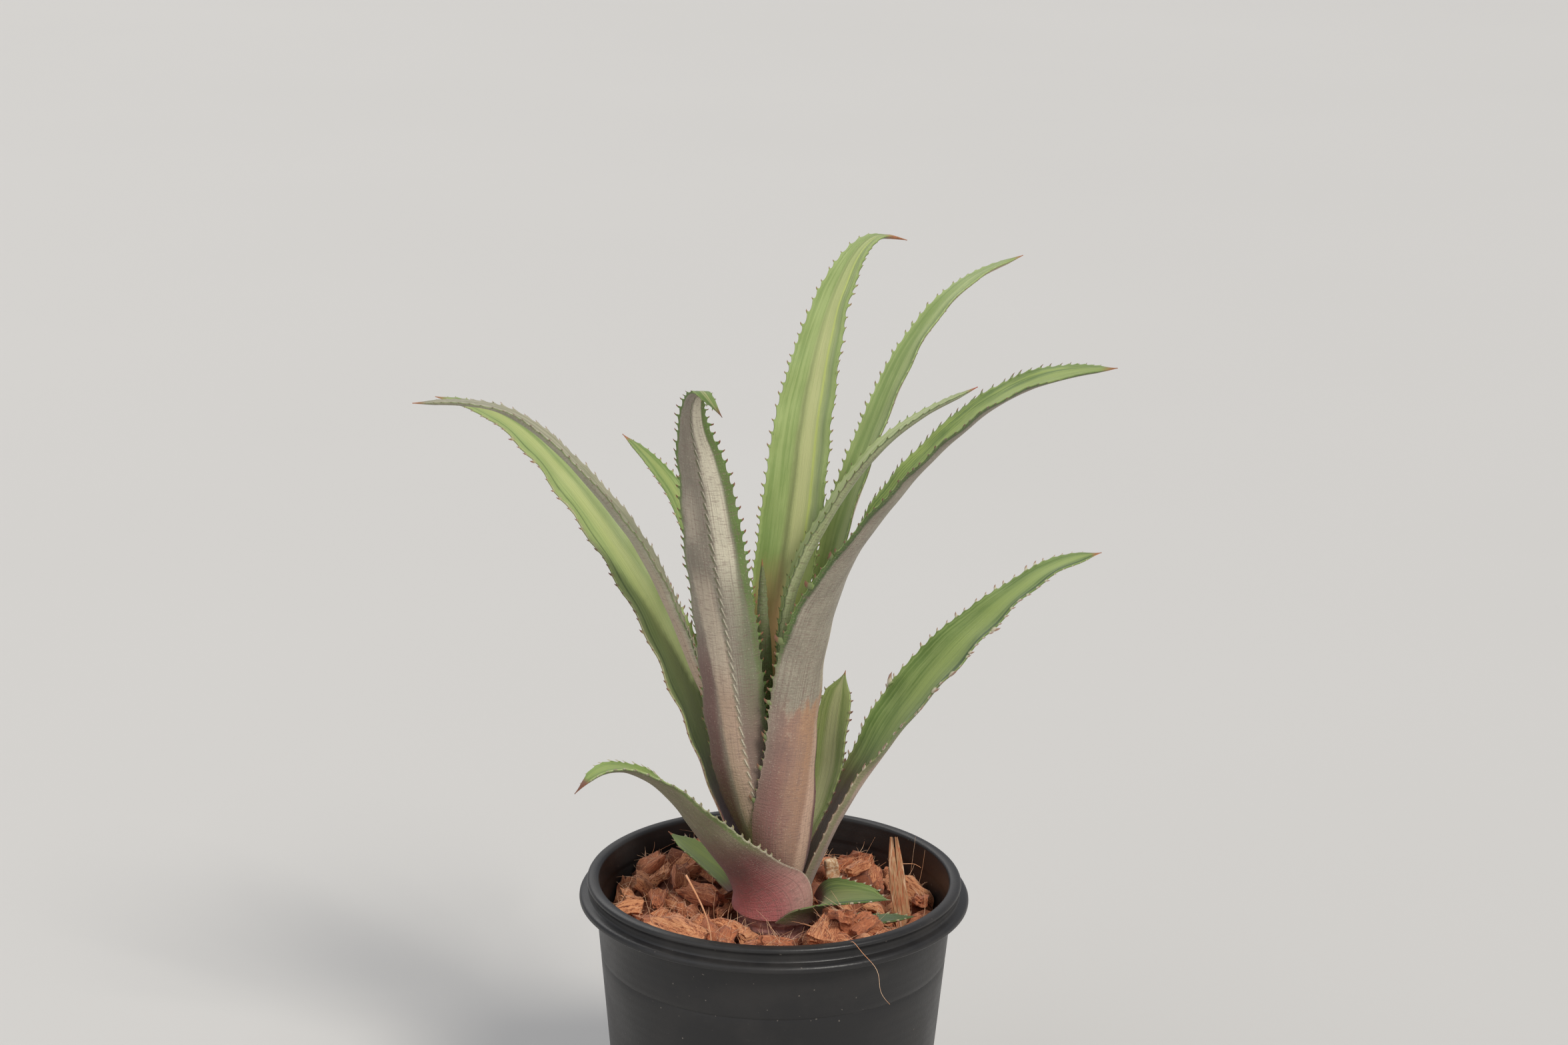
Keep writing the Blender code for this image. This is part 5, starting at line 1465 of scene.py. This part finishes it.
def lay_chip(model, place, rng, long):
    """Copies a chip to its seat and presses what would pass the wall against it."""
    chip = copy_of(model, place)
    points = read_points(model) * long
    offset = np.array([rng.uniform(-40.0, 40.0) for _ in range(3)])
    set_attribute(chip, "grain", "FLOAT_VECTOR", points + offset)
    set_attribute(chip, "tone", "FLOAT", np.full(len(points), rng.random()))
    laid = read_points(chip)
    away = np.hypot(laid[:, 0], laid[:, 1])
    limit = np.array([inside_wall(height / MM) * MM for height in laid[:, 2]])
    pull = np.minimum(1.0, limit / np.maximum(away, 1e-9))
    laid[:, 0] *= pull
    laid[:, 1] *= pull
    write_points(chip, laid)
    return chip


def build_bed(tree):
    """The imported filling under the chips, with the stem's hole."""
    hole = STEM_FOOT_RADIUS + GAP + 0.1
    outer = wall_radius(BED_HEIGHT) - WALL - 0.6
    bed = start_piece("coir_bed", "cylinder", vertices=96, radius=outer * MM, depth=BED_HEIGHT * MM,
                      location=(0.0, 0.0, (BED_LOW + 0.5 * BED_HEIGHT) * MM), end_fill_type="NGON")
    set_in_mesh(bed)
    bpy.ops.object.mode_set(mode="EDIT")
    bpy.ops.mesh.select_mode(type="FACE")
    bpy.ops.mesh.select_all(action="DESELECT")
    bpy.ops.object.mode_set(mode="OBJECT")
    for face in bed.data.polygons:
        face.select = face.normal.z > 0.9
    bpy.ops.object.mode_set(mode="EDIT")
    for _ in range(BED_RINGS):
        bpy.ops.mesh.inset(thickness=(outer - hole) * MM / BED_RINGS, use_even_offset=True)
    bpy.ops.mesh.extrude_region_move(TRANSFORM_OT_translate={"value": (0.0, 0.0, -STEM_HOLE_DEPTH * MM)})
    bpy.ops.object.mode_set(mode="OBJECT")
    points = read_points(bed) / MM
    low = points[:, 2] < 10.0
    points[low, :2] *= (wall_radius(FLOOR_TOP) - WALL - GAP - 1.9) / outer
    for index in np.nonzero(points[:, 2] > BED_HEIGHT)[0]:
        across, back, _ = points[index]
        reach = min(1.0, 36.6 / max(math.hypot(across, back), 1e-6))
        level = top_at(tree, across * reach, back * reach) or 68.0
        rough = noise.noise(Vector((across, back, level)) * 0.55) * 1.1
        points[index, 2] = min(level, 79.0) - BED_SINK + rough
    points[:, 2] = np.maximum(points[:, 2], BED_LOW)
    write_points(bed, points * MM)
    set_attribute(bed, "grain", "FLOAT_VECTOR", points)
    # A tone below zero paints the bed darker, as shade in the gaps between the chips
    set_attribute(bed, "tone", "FLOAT", np.full(len(points), -0.6))
    return bed


def tubes(name, paths, sides=4):
    """Round strands from (points, radii) pairs in millimetres, as one mesh."""
    select_none()
    curve = bpy.data.curves.new(name, "CURVE")
    curve.dimensions = "3D"
    curve.bevel_depth = MM
    curve.bevel_resolution = 0 if sides == 4 else 1
    curve.use_fill_caps = True
    for points, radii in paths:
        line = curve.splines.new("POLY")
        line.points.add(len(points) - 1)
        for spot, point, radius in zip(line.points, points, radii):
            spot.co = (point[0] * MM, point[1] * MM, point[2] * MM, 1.0)
            spot.radius = radius
    strands = bpy.data.objects.new(name, curve)
    bpy.context.collection.objects.link(strands)
    select_only(strands)
    bpy.ops.object.convert(target="MESH")
    strands = bpy.context.object
    strands.name = name
    strands.data.name = name
    return strands


def smooth_path(knots, count):
    """Points on a smooth curve through the knots."""
    knots = np.array(knots, float)
    chord = np.concatenate(([0.0], np.cumsum(np.linalg.norm(np.diff(knots, axis=0), axis=1))))
    return natural_spline(chord, knots, np.linspace(0.0, chord[-1], count))


def build_coir(settings):
    """The medium: packed bed and seated chips."""
    nodes = frame["nodes"]
    tree = surface_tree([nodes["coir_medium"]])
    guard = surface_tree([piece for name, piece in nodes.items() if name not in ("coir_medium", "pot")])
    chips = build_chips(settings, tree, guard)
    bed = build_bed(tree)
    medium = join([bed, *chips], "coir_medium_chips")
    smooth_shade(medium, 40.0)
    put_in_place(medium, coir_paint(settings), "coir_brown", "coir_medium")
    return medium, guard


def build_fibres(settings, medium, guard):
    """Fine fibres torn from the chips, and the few long loose ones."""
    rng = random.Random(settings.seed + 5)
    tree = surface_tree([medium])
    paths = []
    tries = 0
    while len(paths) < settings.fibre_count and tries < settings.fibre_count * TRIES_PER_FIBRE:
        tries += 1
        start = Vector((*spot_in_ring(rng, *FIBRE_RING), 0.0))
        level = top_at(tree, start.x, start.y)
        if level is None or level > 86.0:
            continue
        start.z = level - 0.3
        aim = Vector((rng.uniform(-1.0, 1.0), rng.uniform(-1.0, 1.0), rng.uniform(0.05, 1.1))).normalized()
        curl = Vector((rng.uniform(-1.0, 1.0), rng.uniform(-1.0, 1.0), rng.uniform(-0.9, 0.2)))
        long = rng.uniform(1.6, 4.6) if rng.random() < 0.85 else rng.uniform(5.0, 9.0)
        parts = [step / (FIBRE_POINTS - 1.0) for step in range(FIBRE_POINTS)]
        points = [start + aim * (long * part) + curl * (0.35 * long * part * part) for part in parts]
        if any(math.hypot(point.x, point.y) > inside_wall(point.z) for point in points):
            continue
        if min(guard.find_nearest(point * MM)[3] for point in points) < LEAF_CLEARANCE:
            continue
        width = rng.uniform(0.045, 0.09)
        paths.append((points, [width * (1.0 - 0.7 * step / 5.0) for step in range(FIBRE_POINTS)]))
    for knots, width in LOOSE_FIBRES:
        radii = [width * (1.0 - 0.5 * step / (LOOSE_POINTS - 1.0)) for step in range(LOOSE_POINTS)]
        paths.append((smooth_path(knots, LOOSE_POINTS), radii))
    fibres = tubes("coir_fibres", paths)
    fibres.data.shade_smooth()
    put_in_place(fibres, fibre_paint(settings), "coir_brown")


def fibre_paint(settings):
    """Material of the loose fibres: orange and pale by turns, with fine red specks."""
    paint = Paint("coir_fibre")
    grain = paint.millimetres()
    wide = paint.noise(grain, 0.14, 2.0, 0.5)
    fine = paint.noise(grain, 1.6, 2.0, 0.6)
    colour = paint.mix(paint.smooth(wide, 0.36, 0.64), settings.coir_orange, settings.coir_pale)
    colour = paint.mix(paint.smooth(fine, 0.5, 0.75) * 0.5, colour, settings.coir_red)
    return paint.finish(colour, 0.7 + (fine - 0.5) * 0.2, fine, 0.00004, 0.5, {"Sheen Weight": 0.15})


# Long loose strands: knots in millimetres and their radius
LOOSE_FIBRES = (
    (((16, -34, 73.6), (16.6, -36.8, 77), (17.6, -39.2, 80.4), (19.3, -40.8, 79), (21.6, -41.3, 76.6),
      (23.1, -41, 74.2), (23.6, -40.8, 71.6), (23.9, -40.6, 69.4), (24.7, -40.2, 67.6),
      (26.1, -39.4, 65.6)), 0.085),
    (((-20, -14.2, 85.4), (-17.9, -16.2, 82.2), (-15.5, -18.4, 77.8), (-14.2, -20.2, 73.6),
      (-13.9, -21, 70)), 0.32),
    (((28, 4, 82), (30, 3.6, 81.8), (32.4, 3.2, 81.9), (34, 3, 81.1)), 0.1),
    (((31.4, 4.6, 76), (32, 4.8, 82), (32.6, 5, 88)), 0.045),
    (((33.6, 5, 76), (34.4, 5.4, 80), (34.9, 5.9, 84.4)), 0.045),
    (((-13.2, -17, 74), (-13.6, -15.5, 78.5), (-13.2, -14.4, 82)), 0.05),
    (((-9.4, -19.5, 71), (-11, -20.4, 73.2), (-13.6, -21.6, 75.6)), 0.06),
    (((-7, -22, 70), (-10, -23, 74), (-12, -23.5, 75)), 0.05),
)

# The upright husk splinter: middle line and half sizes in millimetres
SPLINTER_PATH = ((30.6, 0.2, 63), (30.1, 0.8, 69), (28.8, 2, 76.4), (28, 3.2, 83), (27.5, 4, 88.2))
SPLINTER_HALF = ((1.7, 0.9), (1.8, 0.95), (1.85, 0.9), (1.7, 0.7), (1.1, 0.45))


def splinter_paint(settings):
    """Material of the splinter: long tan strands with red between them."""
    paint = Paint("splinter_husk")
    place = paint.place()
    strand = paint.noise(paint.stretch(place, (2600.0, 2600.0, 90.0)), 1.0, 3.0, 0.6)
    wide = paint.noise(paint.stretch(place, (700.0, 700.0, 40.0)), 1.0, 2.0, 0.5)
    colour = paint.mix(paint.smooth(strand, 0.36, 0.58), settings.coir_red, settings.splinter)
    colour = paint.mix(paint.smooth(wide + strand * 0.4, 0.72, 0.9) * 0.8, colour, settings.coir_pale)
    return paint.finish(colour, 0.8 + (strand - 0.5) * 0.2, strand, 0.00015, 0.9)


def build_splinter(settings):
    """A torn splinter of husk: strands laid side by side, ending at different heights."""
    rng = random.Random(settings.seed + 11)
    paths = []
    for index in range(2 * SPLINTER_STRANDS):
        spread = -1.0 + 2.0 * (index % SPLINTER_STRANDS) / (SPLINTER_STRANDS - 1.0)
        layer = -0.45 if index < SPLINTER_STRANDS else 0.45
        stop = 1.0 if abs(abs(spread) - 0.55) < 0.3 else rng.uniform(0.74, 0.92)
        rows = []
        for (x, y, z), (wide, deep) in zip(SPLINTER_PATH, SPLINTER_HALF):
            wobble = rng.uniform(-0.12, 0.12)
            flat = math.sqrt(max(0.0, 1.0 - 0.75 * spread * spread))
            rows.append((x + spread * 0.9 * wide + wobble, y + layer * deep * flat + wobble, z))
        line = smooth_path(rows, SPLINTER_POINTS)[:max(6, round(SPLINTER_POINTS * stop))]
        count = len(line)
        width = rng.uniform(0.2, 0.3)
        radii = [width * min(1.0, 0.12 + (count - 1 - step) / 5.0) for step in range(count)]
        paths.append((line, radii))
    splinter = tubes("husk_splinter_strands", paths, 8)
    splinter.data.shade_smooth()
    put_in_place(splinter, splinter_paint(settings), "husk_tan", "husk_splinter")


def pale_paint(settings):
    """Material of the pale chip: porous cream husk."""
    paint = Paint("pale_husk")
    grain = paint.millimetres()
    pore = paint.noise(grain, 1.3, 4.0, 0.65)
    wide = paint.noise(grain, 0.35, 2.0, 0.5)
    colour = paint.mix(paint.smooth(pore, 0.4, 0.62), settings.splinter, settings.husk_cream)
    colour = paint.mix(paint.smooth(wide, 0.52, 0.7) * 0.4, colour, settings.coir_orange)
    return paint.finish(colour, 0.8 + (pore - 0.5) * 0.2, pore, 0.0002, 0.8)


def build_pale_chip(settings):
    """The pale chip behind the low right leaf, shaped from a block in its own box."""
    low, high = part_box("husk_chip_pale")
    size = high - low
    chip = start_piece("husk_chip_pale_torn", "cube", size=1.0)
    with editing():
        bpy.ops.mesh.subdivide(number_cuts=9)
    nodes = surface_tree([frame["nodes"]["husk_chip_pale"]])
    middle = (low + high) * 0.5
    made = []
    for point in read_points(chip):
        aim = (Vector(point) * size).normalized()
        hit = nodes.ray_cast(middle + aim * 0.02, -aim)[0]
        rough = 0.5 + 0.5 * noise.noise(Vector(hit) * 700.0)
        fine = 0.5 + 0.5 * noise.noise(Vector(hit) * 1900.0)
        made.append(tuple(hit - aim * (0.00055 * rough + 0.0002 * fine)))
    write_points(chip, made)
    smooth_shade(chip, 50.0)
    put_in_place(chip, pale_paint(settings), "husk_pale", "husk_chip_pale")


def stem_paint():
    """Purple-brown stem, ringed by old leaf scars."""
    paint = Paint("stem_scarred")
    place = paint.place()
    height = paint.split(place)[2]
    cloud = paint.noise(paint.millimetres(), 0.35, 4.0, 0.6)
    fine = paint.noise(paint.stretch(place, (300.0, 300.0, 1500.0)), 1.0, 3.0, 0.6)
    ring = paint.maths("SINE", height * 3100.0 + cloud * 5.0)
    colour = paint.mix(paint.smooth(cloud, 0.35, 0.65), (0.24, 0.095, 0.085), (0.44, 0.21, 0.18))
    colour = paint.mix(paint.smooth(ring, 0.5, 1.0) * 0.5, colour, MAUVE_BROWN)
    return paint.finish(colour, 0.7 + (fine - 0.5) * 0.2, fine * 0.5 + ring * 0.5, 0.0003, 0.8)


def build_stem():
    """The stem keeps its solid's shape; it only gets its finish."""
    stem = frame["nodes"]["stem"]
    stem.data.materials.clear()
    stem.data.materials.append(stem_paint())


def floor_paint(settings):
    """Material of the floor: pale paper with a faint cloud and grain."""
    paint = Paint("floor_paper")
    place = paint.place()
    cloud = paint.noise(place, 3.0, 3.0, 0.5)
    fine = paint.noise(place, 900.0, 2.0, 0.5)
    dim = [0.96 * value for value in settings.floor_colour]
    colour = paint.mix(cloud, dim, settings.floor_colour)
    return paint.finish(colour, 0.72 + (fine - 0.5) * 0.08, fine, 0.0001, 0.15)


# Lights: name, direction that they shine from, width in degrees and colour
LIGHTS = (
    ("key", (0.6, -0.8, 1.0), 16.0, (1.0, 0.965, 0.9)),
    ("fill", (-1.0, -0.8, 0.7), 60.0, (0.93, 0.96, 1.0)),
    ("back", (-0.4, 0.95, 0.9), 40.0, (1.0, 0.98, 0.95)),
)
EVEN_COLOUR = (0.9, 0.93, 1.0, 1.0)


def soft_light(name, place, width, power, colour):
    """A wide, far light that shines from place towards the plant; width is in degrees."""
    data = bpy.data.lights.new(name, "SUN")
    data.angle = math.radians(width)
    data.energy = power
    data.color = colour
    light = bpy.data.objects.new(name, data)
    light.rotation_euler = Vector(place).to_track_quat("Z", "Y").to_euler()
    bpy.context.collection.objects.link(light)


def build_stage(settings):
    """The floor, the lights, the even light all around and the camera."""
    floor = start_piece("floor", "grid", x_subdivisions=8, y_subdivisions=8, size=settings.floor_size)
    floor.data.materials.append(floor_paint(settings))
    for name, place, width, colour in LIGHTS:
        soft_light(name + "_light", place, width, getattr(settings, name + "_power"), colour)
    world = bpy.data.worlds.new("studio")
    world.use_nodes = True
    background = world.node_tree.nodes["Background"]
    background.inputs["Color"].default_value = EVEN_COLOUR
    background.inputs["Strength"].default_value = settings.even_light
    bpy.context.scene.world = world
    bpy.context.scene.view_settings.view_transform = "Standard"
    build_camera()


def build_camera():
    """The camera, level at first, then tilted down and rolled about its own view."""
    data = bpy.data.cameras.new("camera")
    data.sensor_fit = "HORIZONTAL"
    data.sensor_width = 36.0
    data.angle = math.radians(CAMERA_ANGLE)
    data.clip_start = 0.02
    data.clip_end = 50.0
    camera = bpy.data.objects.new("camera", data)
    tilt = Matrix.Rotation(math.radians(90.0 - CAMERA_TILT), 4, "X")
    roll = Matrix.Rotation(math.radians(CAMERA_ROLL), 4, "Z")
    camera.matrix_world = Matrix.Translation(Vector(CAMERA_PLACE) * MM) @ tilt @ roll
    bpy.context.collection.objects.link(camera)
    bpy.context.scene.camera = camera


def colour_property(name, description, default):
    return FloatVectorProperty(name=name, description=description, default=default, subtype="COLOR", size=3,
                               min=0.0, max=1.0)


def length_property(name, description, default):
    return FloatProperty(name=name, description=description, default=default, min=0.0, unit="LENGTH",
                         subtype="DISTANCE", precision=5)


def power_property(name, description, default):
    return FloatProperty(name=name, description=description, default=default, min=0.0)


class CryptanthusLeafSettings(bpy.types.PropertyGroup):
    """Sizes of the spines and of the blades' mesh"""
    spine_pitch: length_property("Spine pitch", "Mean distance between the spines on a margin", 0.0026)
    spine_length: length_property("Spine length", "Length of a full-grown spine", 0.0012)
    scallop_depth: length_property("Scallop depth", "How far the margin swells towards each spine", 0.0004)
    row_step: length_property("Row step", "Length of one row of a blade's mesh", 0.00045)
    leaf_columns: IntProperty(name="Columns", description="Faces across a blade", default=18, min=6, max=40)


class CryptanthusMediumSettings(bpy.types.PropertyGroup):
    """Colours, sizes and numbers of the husk and its fibres"""
    coir_dark: colour_property("Hollows", "Colour of the coir in shade and hollows", COIR_DARK)
    coir_red: colour_property("Red coir", "Main reddish brown of the husk chips", COIR_RED)
    coir_orange: colour_property("Orange coir", "Lit fibre ends of the husk chips", COIR_ORANGE)
    coir_pale: colour_property("Pale coir", "Bleached fibres", COIR_PALE)
    splinter: colour_property("Splinter", "Tan of the upright splinter", HUSK_TAN)
    husk_cream: colour_property("Pale chip", "Cream of the pale chip", HUSK_CREAM)
    chip_small: length_property("Smallest chip", "Length of the smallest husk chip", 0.0048)
    chip_large: length_property("Largest chip", "Length of the largest husk chip", 0.0125)
    chip_count: IntProperty(name="Chips", description="Number of husk chips", default=200, min=1)
    fibre_count: IntProperty(name="Fibres", description="Number of fine loose fibres", default=1300, min=0)
    seed: IntProperty(name="Seed", description="Start of the random draw that lays the chips", default=7)


class CryptanthusPotSettings(bpy.types.PropertyGroup):
    """Colours and fineness of the pot"""
    plastic: colour_property("Plastic", "Colour of the pot", CHARCOAL)
    dust: colour_property("Dust", "Colour of the dust and scuffs on the pot", DUST)
    segments: IntProperty(name="Segments", description="Faces around the pot", default=144, min=24, max=256)


class CryptanthusStageSettings(bpy.types.PropertyGroup):
    """Floor and lights"""
    floor_colour: colour_property("Floor", "Colour of the floor", (0.64, 0.625, 0.6))
    floor_size: length_property("Floor size", "Side of the square floor", 12.0)
    key_power: power_property("Key light", "Strength of the main light", 2.1)
    fill_power: power_property("Fill light", "Strength of the fill light", 0.55)
    back_power: power_property("Back light", "Strength of the back light", 0.6)
    even_light: power_property("Even light", "Strength of the even light all around", 0.4)


class CryptanthusOperator:
    """Shared options of the operators."""
    bl_options = {"REGISTER", "UNDO"}


class OBJECT_OT_cryptanthus_pot(CryptanthusOperator, bpy.types.Operator):
    """Spin the moulded pot with its bead, lip and drain holes"""
    bl_idname = "object.cryptanthus_pot"
    bl_label = "Pot"

    def execute(self, context):
        build_pot(context.scene.cryptanthus_pot)
        return {"FINISHED"}


class OBJECT_OT_cryptanthus_stem(CryptanthusOperator, bpy.types.Operator):
    """Finish the short stem"""
    bl_idname = "object.cryptanthus_stem"
    bl_label = "Stem"

    def execute(self, context):
        build_stem()
        return {"FINISHED"}


class OBJECT_OT_cryptanthus_leaves(CryptanthusOperator, bpy.types.Operator):
    """Grow every toothed leaf of the rosette"""
    bl_idname = "object.cryptanthus_leaves"
    bl_label = "Leaves"

    def execute(self, context):
        settings = context.scene.cryptanthus_leaf
        model = spine_model()
        for node, leaf in LEAVES.items():
            build_leaf(node, leaf, model, settings)
        drop(model)
        return {"FINISHED"}


class OBJECT_OT_cryptanthus_medium(CryptanthusOperator, bpy.types.Operator):
    """Lay the husk chips on their bed, with their loose fibres"""
    bl_idname = "object.cryptanthus_medium"
    bl_label = "Coir medium"

    def execute(self, context):
        settings = context.scene.cryptanthus_medium
        medium, guard = build_coir(settings)
        build_fibres(settings, medium, guard)
        return {"FINISHED"}


class OBJECT_OT_cryptanthus_husks(CryptanthusOperator, bpy.types.Operator):
    """Add the upright splinter and the pale husk chip"""
    bl_idname = "object.cryptanthus_husks"
    bl_label = "Splinter and pale chip"

    def execute(self, context):
        settings = context.scene.cryptanthus_medium
        build_splinter(settings)
        build_pale_chip(settings)
        return {"FINISHED"}


class OBJECT_OT_cryptanthus_stage(CryptanthusOperator, bpy.types.Operator):
    """Lay the floor and set the lights and the camera"""
    bl_idname = "object.cryptanthus_stage"
    bl_label = "Stage"

    def execute(self, context):
        build_stage(context.scene.cryptanthus_stage)
        return {"FINISHED"}


class VIEW3D_PT_cryptanthus(bpy.types.Panel):
    """Pieces of the plant and their sizes and colours"""
    bl_label = "Potted cryptanthus"
    bl_idname = "VIEW3D_PT_cryptanthus"
    bl_space_type = "VIEW_3D"
    bl_region_type = "UI"
    bl_category = "Plant"

    def draw(self, context):
        for title, key, operators in PANEL_ROWS:
            box = self.layout.box()
            box.label(text=title)
            settings = getattr(context.scene, key)
            for name in settings.__annotations__:
                box.prop(settings, name)
            for operator in operators:
                box.operator(operator.bl_idname)


OPERATORS = (OBJECT_OT_cryptanthus_pot, OBJECT_OT_cryptanthus_stem, OBJECT_OT_cryptanthus_medium,
             OBJECT_OT_cryptanthus_husks, OBJECT_OT_cryptanthus_leaves, OBJECT_OT_cryptanthus_stage)
GROUPS = (("cryptanthus_leaf", CryptanthusLeafSettings), ("cryptanthus_medium", CryptanthusMediumSettings),
          ("cryptanthus_pot", CryptanthusPotSettings), ("cryptanthus_stage", CryptanthusStageSettings))
PANEL_ROWS = (("Leaves", "cryptanthus_leaf", (OBJECT_OT_cryptanthus_leaves, OBJECT_OT_cryptanthus_stem)),
              ("Medium", "cryptanthus_medium", (OBJECT_OT_cryptanthus_medium, OBJECT_OT_cryptanthus_husks)),
              ("Pot", "cryptanthus_pot", (OBJECT_OT_cryptanthus_pot,)),
              ("Stage", "cryptanthus_stage", (OBJECT_OT_cryptanthus_stage,)))


def register():
    for key, group in GROUPS:
        bpy.utils.register_class(group)
        setattr(bpy.types.Scene, key, PointerProperty(type=group))
    for made in (*OPERATORS, VIEW3D_PT_cryptanthus):
        bpy.utils.register_class(made)


def unregister():
    for made in (VIEW3D_PT_cryptanthus, *reversed(OPERATORS)):
        bpy.utils.unregister_class(made)
    for key, group in reversed(GROUPS):
        delattr(bpy.types.Scene, key)
        bpy.utils.unregister_class(group)


def main():
    """Builds everything in order."""
    register()
    bpy.ops.object.cryptanthus_pot()
    bpy.ops.object.cryptanthus_stem()
    bpy.ops.object.cryptanthus_medium()
    bpy.ops.object.cryptanthus_husks()
    bpy.ops.object.cryptanthus_leaves()
    bpy.ops.object.cryptanthus_stage()


if __name__ == "__main__":
    main()
